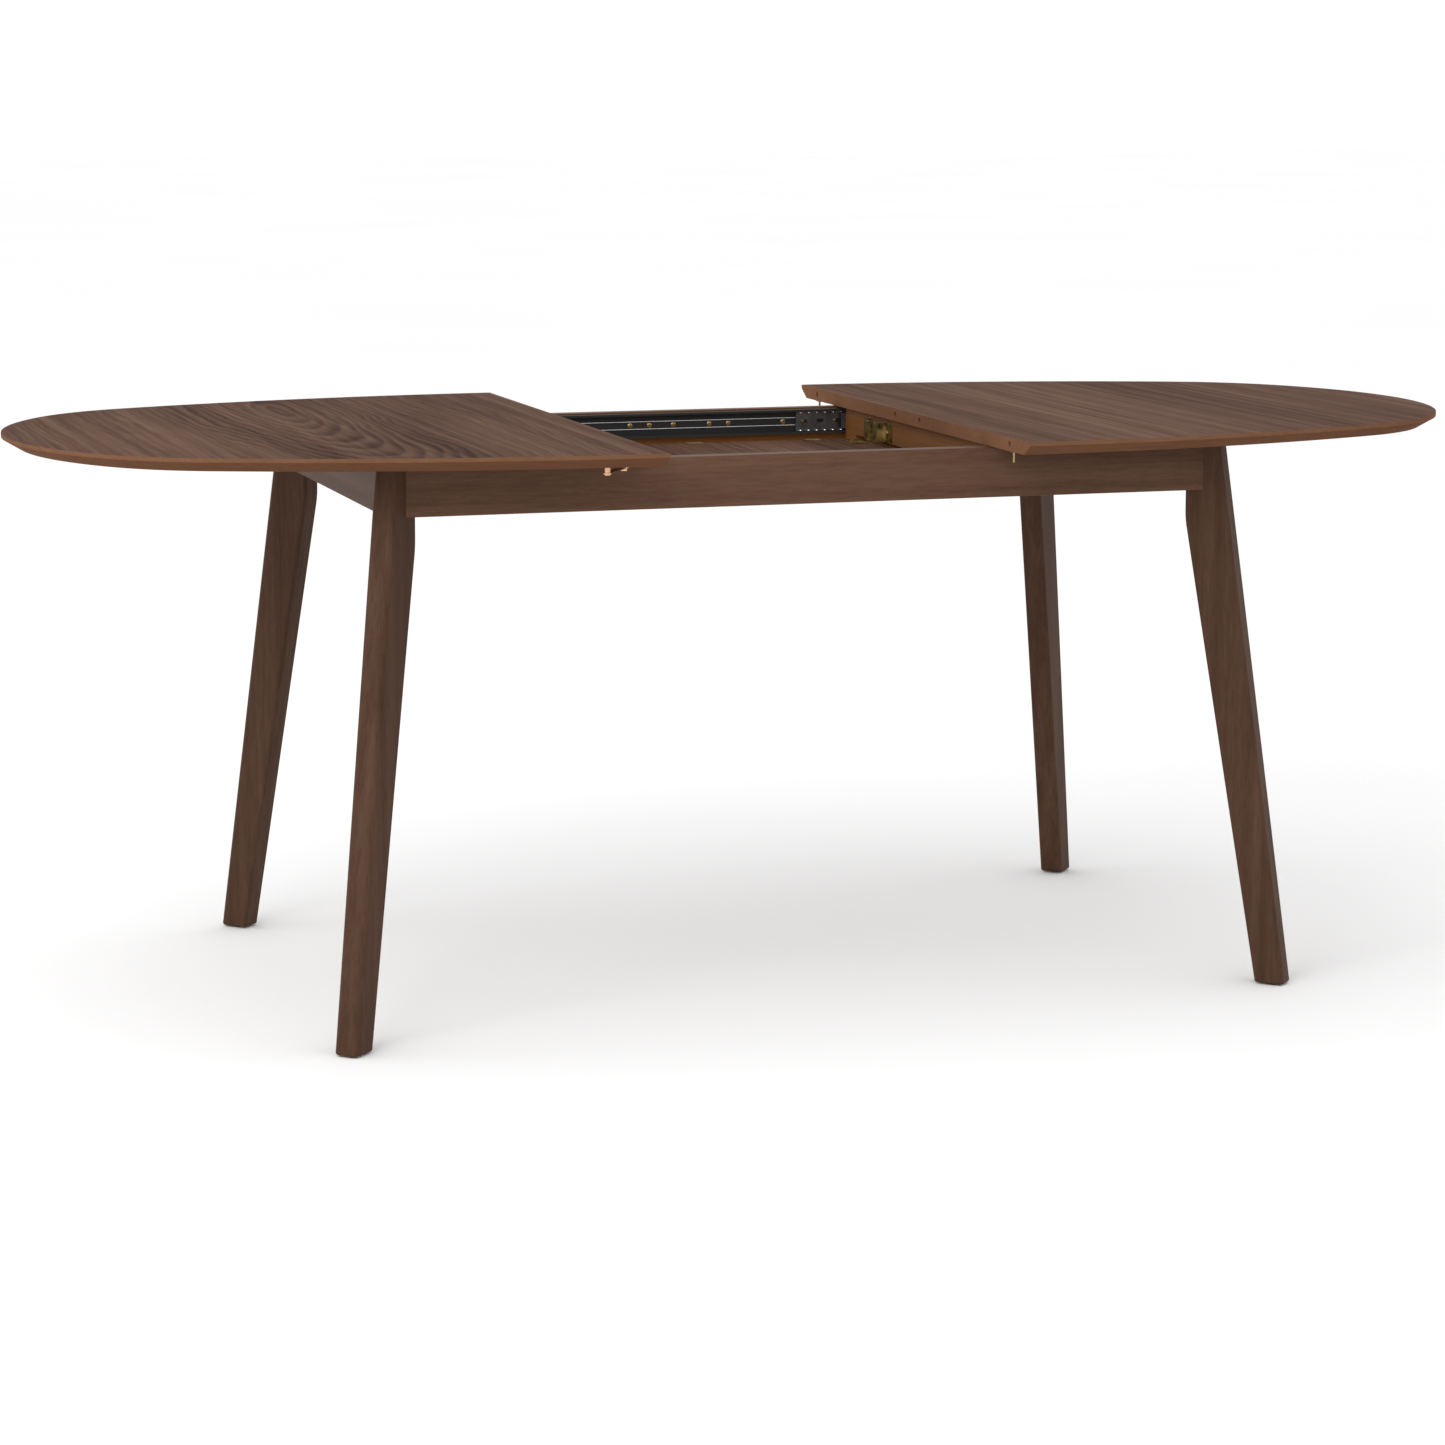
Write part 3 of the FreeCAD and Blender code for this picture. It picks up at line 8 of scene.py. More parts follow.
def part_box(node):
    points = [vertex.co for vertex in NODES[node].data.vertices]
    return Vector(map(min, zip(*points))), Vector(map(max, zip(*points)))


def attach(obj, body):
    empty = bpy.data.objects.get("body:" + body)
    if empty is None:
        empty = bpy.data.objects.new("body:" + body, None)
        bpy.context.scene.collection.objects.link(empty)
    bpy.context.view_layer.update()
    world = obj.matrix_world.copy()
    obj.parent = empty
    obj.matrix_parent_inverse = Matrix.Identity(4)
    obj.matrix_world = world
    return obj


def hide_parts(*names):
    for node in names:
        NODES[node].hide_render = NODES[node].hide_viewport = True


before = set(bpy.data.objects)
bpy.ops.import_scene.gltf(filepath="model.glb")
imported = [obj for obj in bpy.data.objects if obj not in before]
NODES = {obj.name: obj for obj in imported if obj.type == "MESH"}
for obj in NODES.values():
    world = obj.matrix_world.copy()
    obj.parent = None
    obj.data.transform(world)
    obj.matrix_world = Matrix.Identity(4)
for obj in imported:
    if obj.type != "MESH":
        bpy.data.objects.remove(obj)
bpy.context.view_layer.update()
MM = 0.001


# ---------------------------------------------------------------- node graphs

# Sockets of the Mix node when it mixes colours.
MIX_FACTOR = 0
MIX_FIRST = 6
MIX_SECOND = 7
MIX_RESULT = 2


class Graph:
    """One material's node tree with short helpers; results are sockets."""

    def __init__(self, name):
        self.material = bpy.data.materials.new(name)
        self.material.use_nodes = True
        self.tree = self.material.node_tree
        self.shader = self.tree.nodes["Principled BSDF"]

    def node(self, kind, inputs=None, **settings):
        made = self.tree.nodes.new(kind)
        for key, setting in settings.items():
            setattr(made, key, setting)
        for key, source in (inputs or {}).items():
            self.feed(made.inputs[key], source)
        return made

    def feed(self, socket, source):
        if isinstance(source, bpy.types.NodeSocket):
            self.tree.links.new(source, socket)
        else:
            socket.default_value = source

    def math(self, operation, first, second=0.0):
        return self.node("ShaderNodeMath", {0: first, 1: second}, operation=operation).outputs[0]

    def position(self):
        """Object coordinates, which are the row's own metres."""
        return self.node("ShaderNodeTexCoord").outputs["Object"]

    def facing(self, axis):
        """How far a surface faces along one axis, from -1 to 1."""
        normal = self.node("ShaderNodeTexCoord").outputs["Normal"]
        return self.split(normal)["XYZ".index(axis)]

    def split(self, vector):
        return self.node("ShaderNodeSeparateXYZ", {0: vector}).outputs

    def join(self, x, y, z):
        return self.node("ShaderNodeCombineXYZ", {0: x, 1: y, 2: z}).outputs[0]

    def noise(self, vector, scale, detail=3.0, roughness=0.5):
        made = self.node("ShaderNodeTexNoise", {"Vector": vector, "Scale": scale,
                                                "Detail": detail, "Roughness": roughness})
        return made.outputs[0]

    def blend(self, factor, first, second, kind="MIX"):
        made = self.node("ShaderNodeMix", data_type="RGBA", blend_type=kind)
        self.feed(made.inputs[MIX_FACTOR], factor)
        self.feed(made.inputs[MIX_FIRST], first)
        self.feed(made.inputs[MIX_SECOND], second)
        return made.outputs[MIX_RESULT]

    def ramp(self, factor, stops):
        made = self.node("ShaderNodeValToRGB", {0: factor})
        elements = made.color_ramp.elements
        while len(elements) < len(stops):
            elements.new(0.5)
        for element, (place, colour) in zip(elements, stops):
            element.position = place
            element.color = (*colour, 1.0)
        return made.outputs[0]

    def step(self, value, start, finish):
        """0 below start, 1 above finish, smooth between."""
        made = self.node("ShaderNodeMapRange", {0: value, 1: start, 2: finish},
                         interpolation_type="SMOOTHSTEP")
        return made.outputs[0]

    def bump(self, height, distance, strength=0.5):
        made = self.node("ShaderNodeBump", {"Height": height, "Distance": distance,
                                            "Strength": strength})
        self.tree.links.new(made.outputs[0], self.shader.inputs["Normal"])

    def finish(self, colour, roughness, **plain):
        self.feed(self.shader.inputs["Base Color"], colour)
        self.feed(self.shader.inputs["Roughness"], roughness)
        for key, number in plain.items():
            self.shader.inputs[key.replace("_", " ")].default_value = number
        return self.material


def shade(colour, gain):
    return tuple(channel * gain for channel in colour)


# ---------------------------------------------------------------- wood

# Dark, middle and light tone of each wood, as linear colour.
VENEER = ((0.036, 0.016, 0.010), (0.094, 0.048, 0.032), (0.158, 0.090, 0.064))
STAINED = ((0.048, 0.023, 0.014), (0.092, 0.047, 0.029), (0.140, 0.076, 0.048))
# The legs' tones are the apron stain darkened to about 0.7, as painted shade for the lower, less
# lit part of the table.
LEG_STAIN_PAINTED_SHADE = ((0.032, 0.016, 0.009), (0.064, 0.032, 0.019), (0.100, 0.054, 0.034))
BARE = ((0.075, 0.026, 0.006), (0.130, 0.050, 0.012), (0.195, 0.083, 0.024))
EDGING = ((0.095, 0.042, 0.022), (0.150, 0.072, 0.039), (0.205, 0.105, 0.060))

# Rings as (heart across and along in metres, stretch, spacing, sway, reach of the loops).
CATHEDRAL = ((-0.600, 0.24), 0.14, 0.0125, 0.100, 0.19)
STRAIGHT = ((1.60, -0.30), 0.10, 0.013, 0.050, 0.10)

# Noise scales of the wood's figure, per metre across and along the grain.
RING_WANDER = (7.0, 1.6)
RING_RIPPLE = (55.0, 6.0)
RING_PATCHES = (12.0, 2.2)
STREAKS = (70.0, 1.2)
CLOUDS = (11.0, 1.6)
FIBRES_ACROSS = 300.0

# How strongly each part of the figure darkens or lightens the tone, which runs from 0 to 1.
PLAIN_TONE = 0.55
RINGED_TONE = 0.60
RING_DEPTH = 0.34
STRIP_DEPTH = 0.16
CLOUD_DEPTH = 0.45
FIBRE_DEPTH = 0.8
PORE_DEPTH = 0.35
DARK_AT, MIDDLE_AT, LIGHT_AT = 0.08, 0.50, 0.92

# Shares of a ring line's weight that fall off from the heart and that come in patches.
LOOP_SHARE = 0.55
PATCH_SHARE = 0.45

STRIP_SHIFT = 3.0       # metres of grain that a veneer strip may be shifted along
FIBRE_RELIEF = 0.0003   # metres


def grain_frame(graph, along):
    """Coordinates as across, along and through the grain."""
    x, y, z = graph.split(graph.position())
    return {"x": (y, x, z), "y": (x, y, z), "z": (x, z, y)}[along]


def stretched(graph, frame3, across_scale, along_scale):
    """Noise coordinates drawn out along the grain."""
    across, along, through = frame3
    return graph.join(graph.math("MULTIPLY", across, across_scale),
                      graph.math("MULTIPLY", along, along_scale),
                      graph.math("MULTIPLY", through, across_scale))


def centred(graph, vector, gain, detail=2.0):
    """Noise about zero, scaled by gain."""
    level = graph.noise(vector, 1.0, detail=detail)
    return graph.math("MULTIPLY", graph.math("SUBTRACT", level, 0.5), gain)


def growth_rings(graph, frame3, heart, stretch, spacing, sway, spread):
    """Thin dark lines nested round the heart, as in a flat cut: 1 on a line, 0 between."""
    across, along, _ = frame3
    side = graph.math("SUBTRACT", across, heart[0])
    wander = centred(graph, stretched(graph, frame3, *RING_WANDER), sway)
    ripple = centred(graph, stretched(graph, frame3, *RING_RIPPLE), spacing * 1.5, 4.0)
    side = graph.math("ADD", graph.math("ADD", side, wander), ripple)
    ahead = graph.math("MULTIPLY", graph.math("SUBTRACT", along, heart[1]), stretch)
    square = graph.math("ADD", graph.math("MULTIPLY", side, side),
                        graph.math("MULTIPLY", ahead, ahead))
    reach = graph.math("SQRT", square)
    share = graph.math("FRACT", graph.math("DIVIDE", reach, spacing))
    rise = graph.step(share, 0.10, 0.80)
    fall = graph.math("SUBTRACT", 1.0, graph.step(share, 0.82, 1.0))
    lines = graph.math("MULTIPLY", rise, fall)
    patches = graph.noise(stretched(graph, frame3, *RING_PATCHES), 1.0)
    patchy = graph.step(patches, 0.30, 0.62)
    near = graph.math("SUBTRACT", 1.0, graph.step(reach, spread * 0.5, spread))
    weight = graph.math("ADD", graph.math("MULTIPLY", near, LOOP_SHARE),
                        graph.math("MULTIPLY", patchy, PATCH_SHARE))
    return graph.math("MULTIPLY", lines, weight)


def veneer_strips(graph, frame3, width):
    """Coordinates shifted along the grain from strip to strip, and a tone for each strip."""
    across, along, through = frame3
    number = graph.math("FLOOR", graph.math("DIVIDE", across, width))
    chance = graph.node("ShaderNodeTexWhiteNoise", {"W": number},
                        noise_dimensions="1D").outputs["Value"]
    shifted = graph.math("ADD", along, graph.math("MULTIPLY", chance, STRIP_SHIFT))
    tone = graph.math("MULTIPLY", graph.math("SUBTRACT", chance, 0.5), STRIP_DEPTH)
    return (across, shifted, through), tone


def wood_colour(graph, tones, along, streak, rings=None, strips=None, dash=9.0):
    """Rings, streaks and fibres of one wood; returns the colour and the fibre height."""
    frame3 = grain_frame(graph, along)
    tone = PLAIN_TONE
    if rings is not None:
        lines = growth_rings(graph, frame3, *rings)
        tone = graph.math("SUBTRACT", RINGED_TONE, graph.math("MULTIPLY", lines, RING_DEPTH))
    if strips is not None:
        frame3, drift = veneer_strips(graph, frame3, strips)
        tone = graph.math("ADD", tone, drift)
    streaks = centred(graph, stretched(graph, frame3, *STREAKS), streak, 3.0)
    clouds = centred(graph, stretched(graph, frame3, *CLOUDS), CLOUD_DEPTH)
    fibres = graph.noise(stretched(graph, frame3, FIBRES_ACROSS, dash), 1.0,
                         detail=5.0, roughness=0.7)
    fuzz = graph.math("MULTIPLY", graph.math("SUBTRACT", fibres, 0.5), FIBRE_DEPTH)
    for part in (streaks, clouds, fuzz):
        tone = graph.math("ADD", tone, part)
    pores = graph.step(fibres, 0.60, 0.74)
    tone = graph.math("SUBTRACT", tone, graph.math("MULTIPLY", pores, PORE_DEPTH))
    dark, middle, light = tones
    return graph.ramp(tone, ((DARK_AT, dark), (MIDDLE_AT, middle), (LIGHT_AT, light))), fibres


def wood_finish(graph, colour, fibres, strength, low, span, specular):
    """Fibre relief, and a roughness that runs from low to low + span with the fibres."""
    graph.bump(fibres, FIBRE_RELIEF, strength)
    rough = graph.math("ADD", graph.math("MULTIPLY", fibres, span), low)
    return graph.finish(colour, rough, Specular_IOR_Level=specular)


def veneered(name, rings, strips):
    """Satin walnut veneer on top; a plainer, redder band at the edge, with painted shade where
    the edge faces down.
    """
    graph = Graph(name)
    colour, fibres = wood_colour(graph, VENEER, "y", 0.95, rings, strips)
    band, _ = wood_colour(graph, EDGING, "x", 0.25)
    up = graph.facing("Z")
    on_edge = graph.math("SUBTRACT", 1.0, graph.step(graph.math("ABSOLUTE", up), 0.90, 0.97))
    below = graph.step(graph.math("MULTIPLY", up, -1.0), 0.2, 0.5)
    # Where the edge faces down, the band is darkened and greyed as painted shade.
    band_painted_shade = graph.blend(1.0, band, (0.78, 0.72, 0.70, 1.0), "MULTIPLY")
    colour = graph.blend(on_edge, colour, graph.blend(below, band, band_painted_shade))
    return wood_finish(graph, colour, fibres, 0.12, 0.50, 0.16, 0.006)


def stained(name, along, tones, inside=None):
    """Stained solid wood; a face that looks along inside shows the bare orange wood."""
    graph = Graph(name)
    colour, fibres = wood_colour(graph, tones, along, 0.70, dash=26.0)
    if inside is not None:
        open_wood, _ = wood_colour(graph, BARE, along, 0.45)
        axis, sign = inside
        facing = graph.math("MULTIPLY", graph.facing(axis), sign)
        colour = graph.blend(graph.step(facing, 0.6, 0.8), colour, open_wood)
    return wood_finish(graph, colour, fibres, 0.10, 0.42, 0.14, 0.06)


def bare(name, along):
    """Sealed orange-brown wood of the parts that don't show when closed."""
    graph = Graph(name)
    colour, fibres = wood_colour(graph, BARE, along, 0.55)
    graph.bump(fibres, 0.0004, 0.2)
    rough = graph.math("ADD", graph.math("MULTIPLY", fibres, 0.2), 0.42)
    return graph.finish(colour, rough, Specular_IOR_Level=0.15)


def beech(name):
    graph = Graph(name)
    pale = ((0.30, 0.19, 0.10), (0.42, 0.28, 0.16), (0.52, 0.37, 0.23))
    colour, fibres = wood_colour(graph, pale, "x", 0.3)
    graph.bump(fibres, FIBRE_RELIEF, 0.2)
    return graph.finish(colour, 0.6, Specular_IOR_Level=0.2)


# ---------------------------------------------------------------- metal and plastic

METAL_BLOTCHES = 60.0    # per metre
METAL_GRIT = 840.0
METAL_RELIEF = 0.0001   # metres


def metal(name, colour, metallic, low, high, mottle=0.25):
    """Plated, rolled or coated metal with soft blotches and fine grit."""
    graph = Graph(name)
    place = graph.position()
    blotches = graph.noise(place, METAL_BLOTCHES, detail=4.0)
    fine = graph.noise(place, METAL_GRIT, detail=2.0)
    dull = shade(colour, 1.0 - mottle)
    bright = shade(colour, 1.0 + mottle)
    tone = graph.math("ADD", graph.math("MULTIPLY", blotches, 0.7),
                      graph.math("MULTIPLY", fine, 0.3))
    graph.bump(fine, METAL_RELIEF, 0.15)
    rough = graph.math("ADD", graph.math("MULTIPLY", blotches, high - low), low)
    return graph.finish(graph.ramp(tone, ((0.3, dull), (0.7, bright))), rough, Metallic=metallic)


def iridescent(name):
    """Yellow zinc: pale gold with dark olive patches."""
    graph = Graph(name)
    place = graph.position()
    drift = graph.noise(place, 45.0, detail=2.0)
    fine = graph.noise(place, 900.0, detail=2.0)
    colour = graph.ramp(drift, ((0.32, (0.05, 0.04, 0.01)), (0.44, (0.30, 0.22, 0.07)),
                                (0.56, (0.52, 0.38, 0.14)), (0.70, (0.10, 0.09, 0.03))))
    graph.bump(fine, METAL_RELIEF, 0.1)
    rough = graph.math("ADD", graph.math("MULTIPLY", drift, 0.2), 0.2)
    return graph.finish(colour, rough, Metallic=1.0)


def nylon(name):
    graph = Graph(name)
    fine = graph.noise(graph.position(), 700.0, detail=3.0)
    colour = graph.ramp(fine, ((0.3, (0.045, 0.034, 0.026)), (0.7, (0.065, 0.050, 0.038))))
    graph.bump(fine, 0.0002, 0.3)
    return graph.finish(colour, 0.55)


def backdrop_white(name):
    graph = Graph(name)
    soft = graph.noise(graph.position(), 0.6, detail=1.0)
    colour = graph.ramp(soft, ((0.2, (0.93, 0.93, 0.93)), (0.8, (0.95, 0.95, 0.95))))
    return graph.finish(colour, 0.9, Specular_IOR_Level=0.1)


# ---------------------------------------------------------------- mesh pieces

def mesh_piece(name, make, body, material):
    """A new piece from a bmesh-building function, riding on a body."""
    mesh = bpy.data.meshes.new(name)
    built = bmesh.new()
    make(built)
    built.normal_update()
    built.to_mesh(mesh)
    built.free()
    mesh.materials.append(material)
    mesh.shade_smooth()
    mesh.set_sharp_from_angle(angle=math.radians(35))
    piece = bpy.data.objects.new(name, mesh)
    bpy.context.collection.objects.link(piece)
    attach(piece, body)
    return piece


def islands(node):
    """Each separate solid of a CAD node, as a list of its vertices' places."""
    welded = bmesh.new()
    welded.from_mesh(NODES[node].data)
    bmesh.ops.remove_doubles(welded, verts=welded.verts, dist=1e-6)
    left = set(welded.verts)
    found = []
    while left:
        front = [left.pop()]
        places = []
        while front:
            vertex = front.pop()
            places.append(vertex.co.copy())
            for edge in vertex.link_edges:
                other = edge.other_vert(vertex)
                if other in left:
                    left.remove(other)
                    front.append(other)
        found.append(places)
    welded.free()
    return sorted(found, key=lambda places: tuple(round(c, 5) for c in places_middle(places)))


def places_middle(places):
    low = [min(place[i] for place in places) for i in range(3)]
    high = [max(place[i] for place in places) for i in range(3)]
    return [(a + b) / 2 for a, b in zip(low, high)]


def screw_axis(places):
    """Head end, direction into the wood, length and head radius of one screw solid."""
    low = Vector([min(place[i] for place in places) for i in range(3)])
    high = Vector([max(place[i] for place in places) for i in range(3)])
    span = high - low
    axis = max(range(3), key=lambda i: span[i])
    middle = (low + high) / 2

    def girth(end):
        near = [p for p in places if abs(p[axis] - end[axis]) < 0.1 * MM]
        return max((p - middle).length_squared - (p[axis] - middle[axis]) ** 2 for p in near)

    start, finish = (low, high) if girth(low) > girth(high) else (high, low)
    head = middle.copy()
    head[axis] = start[axis]
    tail = middle.copy()
    tail[axis] = finish[axis]
    others = [span[i] for i in range(3) if i != axis]
    return head, (tail - head).normalized(), (tail - head).length, max(others) / 2


AROUND = 32             # points round a screw head; a multiple of four
HEAD_RINGS = (0.18, 0.34, 0.50, 0.62, 0.80, 0.94, 1.0)

# Shares of the head's radius.
RECESS_REACH = 0.55
RECESS_HALF_WIDTH = 0.13
RECESS_DEPTH = 0.45
RECESS_RISE = 0.6       # share of its depth that the recess loses per radius outwards
DOME_HEIGHT = 0.42
DOME_FULLNESS = 0.85
CONE_DEPTH = 0.9        # cone height over head radius less shank radius
DOME_EDGE = 1.5 * MM    # a domed head's outer face down to its underside
TIP_SHARE = 0.12        # tip radius over shank radius


def add_screw(built, head, into, length, radius, shank, domed):
    """Screw with a cross recess; head is the middle of the head's outer face."""
    turn = Vector((0, 0, 1)).rotation_difference(-into)
    height = DOME_HEIGHT * radius

    def crown(share):
        if not domed:
            return 0.0
        return -height * (1.0 - math.sqrt(1.0 - DOME_FULLNESS * share ** 2))

    def depth(share, angle):
        arm = min(angle % (math.pi / 2), math.pi / 2 - angle % (math.pi / 2))
        if share > RECESS_REACH or share * math.sin(arm) > RECESS_HALF_WIDTH:
            return 0.0
        return -RECESS_DEPTH * radius * (1.0 - RECESS_RISE * share)

    def place(share, angle, drop):
        local = Vector((share * radius * math.cos(angle), share * radius * math.sin(angle), drop))
        return built.verts.new(head + turn @ local)

    angles = [2 * math.pi * i / AROUND for i in range(AROUND)]
    centre = place(0.0, 0.0, -RECESS_DEPTH * radius)
    loops = []
    for share in HEAD_RINGS:
        loops.append([place(share, a, crown(share) + depth(share, a)) for a in angles])
    foot = -DOME_EDGE if domed else -CONE_DEPTH * (radius - shank)
    if domed:
        loops.append([place(1.0, a, foot) for a in angles])
    loops.append([place(shank / radius, a, foot) for a in angles])
    loops.append([place(shank / radius, a, -length + 2 * shank) for a in angles])
    loops.append([place(TIP_SHARE * shank / radius, a, -length) for a in angles])
    for i in range(AROUND):
        built.faces.new((centre, loops[0][i], loops[0][(i + 1) % AROUND]))
    for inner, outer in zip(loops, loops[1:]):
        for i in range(AROUND):
            j = (i + 1) % AROUND
            built.faces.new((inner[i], outer[i], outer[j], inner[j]))
    built.faces.new(list(reversed(loops[-1])))


def screws_for(node, body, material, shank, domed):
    """Cross-headed screws in place of a node's plain ones."""
    def make(built):
        for places in islands(node):
            head, into, length, radius = screw_axis(places)
            add_screw(built, head, into, length, radius, shank, domed)

    piece = mesh_piece(node + "_crossed", make, body, material)
    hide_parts(node)


BEAD_SIDES = 8          # facets of a half-round rib


def bead(built, start, finish, radius, lift):
    """Half-round bead between two points; lift points away from its base."""
    along = (finish - start).normalized()
    side = along.cross(lift)
    ends = []
    for point in (start, finish):
        ring = []
        for i in range(BEAD_SIDES + 1):
            angle = math.pi * i / BEAD_SIDES
            offset = side * math.cos(angle) * radius + lift * math.sin(angle) * radius
            ring.append(built.verts.new(point + offset))
        ends.append(ring)
    for i in range(BEAD_SIDES):
        built.faces.new((ends[0][i], ends[0][i + 1], ends[1][i + 1], ends[1][i]))
    built.faces.new((ends[0][0], ends[1][0], ends[1][-1], ends[0][-1]))
    built.faces.new(list(reversed(ends[0])))
    built.faces.new(ends[1])


WEB_THICKNESS = 1.5 * MM
RIB_RISE = 5.4 * MM     # from the channel's middle line
RIB_INSET = 4 * MM      # from the channel's ends
RIB_RADIUS = 0.8 * MM


def channel_highlight_ribs(side, material):
    """Two rolled ribs along the web of a slide channel, in bright steel as a painted highlight of
    the ribs' edges.
    """
    low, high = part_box("slide_channel_" + side)
    inward = Vector((0, -1, 0)) if side == "back" else Vector((0, 1, 0))
    web = high.y - WEB_THICKNESS if side == "back" else low.y + WEB_THICKNESS
    middle = (low.z + high.z) / 2

    def make(built):
        for rise in (-RIB_RISE, RIB_RISE):
            start = Vector((low.x + RIB_INSET, web, middle + rise))
            finish = Vector((high.x - RIB_INSET, web, middle + rise))
            bead(built, start, finish, RIB_RADIUS, inward)

    mesh_piece("channel_ribs_painted_highlight_" + side, make, "frame", material)


# ---------------------------------------------------------------- dressing the CAD

def dress(material, *names):
    for name in names:
        slots = NODES[name].data.materials
        slots.clear()
        slots.append(material)


def soften(width, *names):
    """Break a CAD node's sharp edges by a small round."""
    for name in names:
        piece = NODES[name]
        weld = piece.modifiers.new("weld", "WELD")
        weld.merge_threshold = 1e-6
        band_painted_shade = piece.modifiers.new("soft_edges", "BEVEL")
        band_painted_shade.width = width
        band_painted_shade.segments = 2
        band_painted_shade.limit_method = "ANGLE"
        band_painted_shade.angle_limit = math.radians(32)
        band_painted_shade.harden_normals = True
        band_painted_shade.use_clamp_overlap = True


THICK_SHANK = 1.9 * MM
THIN_SHANK = 1.5 * MM
LEAF_SHANK = 1.4 * MM
HALVES = ("left", "right")
ENDS = ("front", "back")
CORNERS = ("front_left", "front_right", "back_right", "back_left")
RAILS = ["crossbar_%s_%s" % (half, row) for half in HALVES for row in ("inner", "outer")]
RAILS += ["stretcher_" + half for half in HALVES]


def dress_wood():
    dress(veneered("veneer_left", CATHEDRAL, strips=0.190), "top_left")
    dress(veneered("veneer_right", STRAIGHT, strips=0.155), "top_right")
    dress(veneered("veneer_leaf", STRAIGHT, strips=0.160), "leaf_half_upper", "leaf_half_lower")
    for corner in CORNERS:
        # The legs' darker tones carry painted shade.
        dress(stained("leg_wood_shaded_" + corner, "z", LEG_STAIN_PAINTED_SHADE), "leg_" + corner)
    dress(stained("apron_front_wood", "x", STAINED, ("Y", 1.0)), "front_apron")
    dress(stained("apron_back_wood", "x", STAINED, ("Y", -1.0)), "back_apron")
    dress(stained("apron_left_wood", "y", STAINED, ("X", 1.0)), "left_apron")
    dress(stained("apron_right_wood", "y", STAINED, ("X", -1.0)), "right_apron")
    dress(bare("rail_wood", "y"), *RAILS)
    dress(bare("block_wood", "z"), "corner_blocks")
    dress(beech("dowel_beech"), "top_dowels", "leaf_dowels", "stretcher_dowels")


def dress_metal():
    """Metal and plastic pieces; also the crossed screws and the channels' ribs with their painted
    highlight.
    """
    black = metal("black_coating", (0.004, 0.004, 0.004), 0.0, 0.55, 0.70)
    rolled = metal("rolled_steel", (0.17, 0.18, 0.20), 1.0, 0.30, 0.45)
    # Polished steel: the cage balls' own finish, and a painted highlight on the channels' ribs.
    polished_and_highlight = metal("polished_steel_and_highlight", (0.75, 0.75, 0.77), 1.0, 0.08, 0.18, mottle=0.08)
    zinc = metal("bright_zinc", (0.62, 0.62, 0.60), 1.0, 0.22, 0.40)
    brass = metal("plated_brass", (0.38, 0.26, 0.12), 1.0, 0.25, 0.42, mottle=0.3)
    # The latch's copper tint is a painted reflection of the brown wood round it.
    copper_painted_reflection = metal("steel_with_painted_copper_reflection", (0.72, 0.44, 0.27), 1.0, 0.22, 0.36, mottle=0.2)
    dress(black, "slide_channel_front", "slide_channel_back")
    dress(rolled, *["%s_%s_%s" % (kind, half, end) for kind in ("runner", "ball_cage")
                    for half in HALVES for end in ENDS])
    dress(polished_and_highlight, *["cage_balls_%s_%s" % (half, end) for half in HALVES for end in ENDS])
    dress(zinc, "leaf_hangers", "corner_bolts", "corner_nuts", "corner_washers")
    dress(iridescent("yellow_zinc"), "bracket_left", "bracket_right", "leaf_plates")
    dress(brass, "hinge_straps", "hinge_pins", "keepers")
    dress(copper_painted_reflection, "latch_plates", "latch_rivets", "latch_lever_front", "latch_lever_back")
    dress(nylon("brown_nylon"), "foot_glides")

    screws_for("frame_round_screws", "frame", brass, THICK_SHANK, True)
    screws_for("block_screws", "frame", brass, THICK_SHANK, False)
    screws_for("leaf_screws", "frame", brass, LEAF_SHANK, False)
    screws_for("latch_screws", "top_left", brass, THIN_SHANK, False)
    screws_for("keeper_screws", "top_right", brass, THIN_SHANK, False)
    for half in HALVES:
        body = "top_" + half
        screws_for("round_screws_" + half, body, brass, THICK_SHANK, True)
        screws_for("crossbar_screws_" + half, body, brass, THICK_SHANK, False)
    for end in ENDS:
        # The ribs' bright steel is a painted highlight on the black channel.
        channel_highlight_ribs(end, polished_and_highlight)


def soften_edges():
    soften(1.3 * MM, "top_left", "top_right")
    soften(0.7 * MM, "leaf_half_upper", "leaf_half_lower")
    soften(0.8 * MM, "front_apron", "back_apron", "left_apron", "right_apron",
           "corner_blocks", *RAILS)
    soften(0.25 * MM, "bracket_left", "bracket_right", "latch_lever_front",
           "latch_lever_back", "leaf_hangers", "leaf_plates")


# ---------------------------------------------------------------- stage

FLOOR_REACH = 40.0      # metres from the middle to each side
WORLD_STRENGTH = 1.06
TABLE_MIDDLE = (0.0, 0.0, 0.6)

# The camera: metres, radians and millimetres; the shifts are shares of the frame's width.
CAMERA_PLACE = (-1.6423, -4.9754, 1.2463)
YAW = 0.3124
PITCH = 0.1365
ROLL = 0.0029
LENS = 96.0
SENSOR_WIDTH = 36.0
SHIFT_ACROSS = 0.0037
SHIFT_UP = -0.10


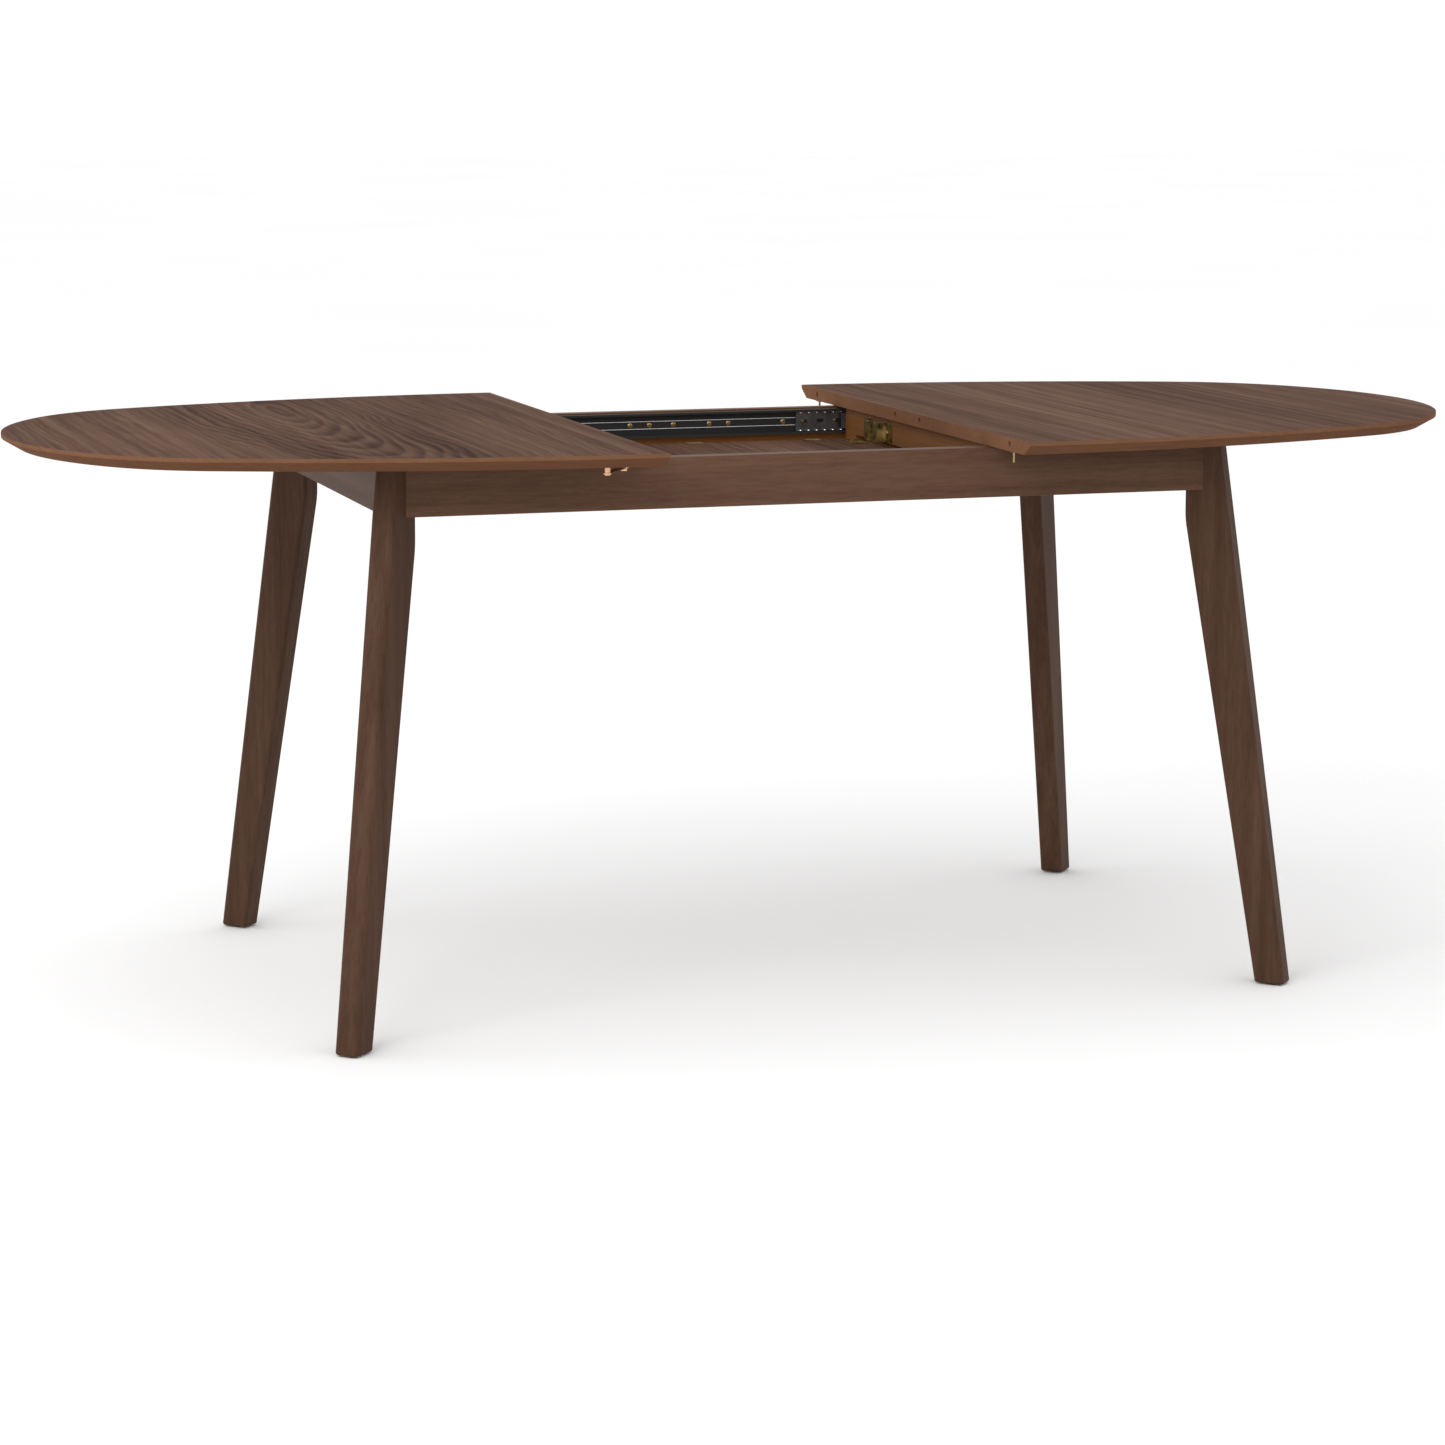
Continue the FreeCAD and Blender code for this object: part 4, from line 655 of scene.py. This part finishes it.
def build_stage():
    mesh = bpy.data.meshes.new("floor")
    built = bmesh.new()
    bmesh.ops.create_grid(built, x_segments=8, y_segments=8, size=FLOOR_REACH)
    built.to_mesh(mesh)
    built.free()
    mesh.materials.append(backdrop_white("pale_floor"))
    floor = bpy.data.objects.new("floor", mesh)
    bpy.context.collection.objects.link(floor)

    world = bpy.data.worlds.new("studio")
    bpy.context.scene.world = world
    world.use_nodes = True
    background = world.node_tree.nodes["Background"]
    background.inputs["Color"].default_value = (1.0, 1.0, 1.0, 1.0)
    background.inputs["Strength"].default_value = WORLD_STRENGTH


def soft_light(name, place, width, height, power):
    """Rectangular lamp turned towards the table; sizes in metres, power in watts."""
    data = bpy.data.lights.new(name, "AREA")
    data.shape = "RECTANGLE"
    data.size = width
    data.size_y = height
    data.energy = power
    lamp = bpy.data.objects.new(name, data)
    lamp.location = place
    lamp.rotation_mode = "QUATERNION"
    lamp.rotation_quaternion = (Vector(TABLE_MIDDLE) - Vector(place)).to_track_quat("-Z", "Y")
    bpy.context.collection.objects.link(lamp)


def build_lights():
    soft_light("key", (-2.8, -2.6, 3.0), width=2.6, height=2.2, power=60.0)
    soft_light("side", (-4.2, 0.6, 1.2), width=2.6, height=1.8, power=22.0)


def build_camera():
    """Long lens from the front left, a little above the table top."""
    ahead = Vector((math.sin(YAW) * math.cos(PITCH), math.cos(YAW) * math.cos(PITCH),
                    -math.sin(PITCH)))
    right = Vector((math.cos(YAW), -math.sin(YAW), 0.0))
    above = right.cross(ahead)
    across = right * math.cos(ROLL) + above * math.sin(ROLL)
    upright = above * math.cos(ROLL) - right * math.sin(ROLL)
    data = bpy.data.cameras.new("camera")
    data.sensor_width = SENSOR_WIDTH
    data.lens = LENS
    data.shift_x = SHIFT_ACROSS
    data.shift_y = SHIFT_UP
    camera = bpy.data.objects.new("camera", data)
    turn = Matrix((across, upright, -ahead)).transposed().to_4x4()
    camera.matrix_world = Matrix.Translation(CAMERA_PLACE) @ turn
    bpy.context.collection.objects.link(camera)
    bpy.context.scene.camera = camera


bpy.context.scene.view_settings.view_transform = "Standard"
dress_wood()
dress_metal()
soften_edges()
build_stage()
build_lights()
build_camera()
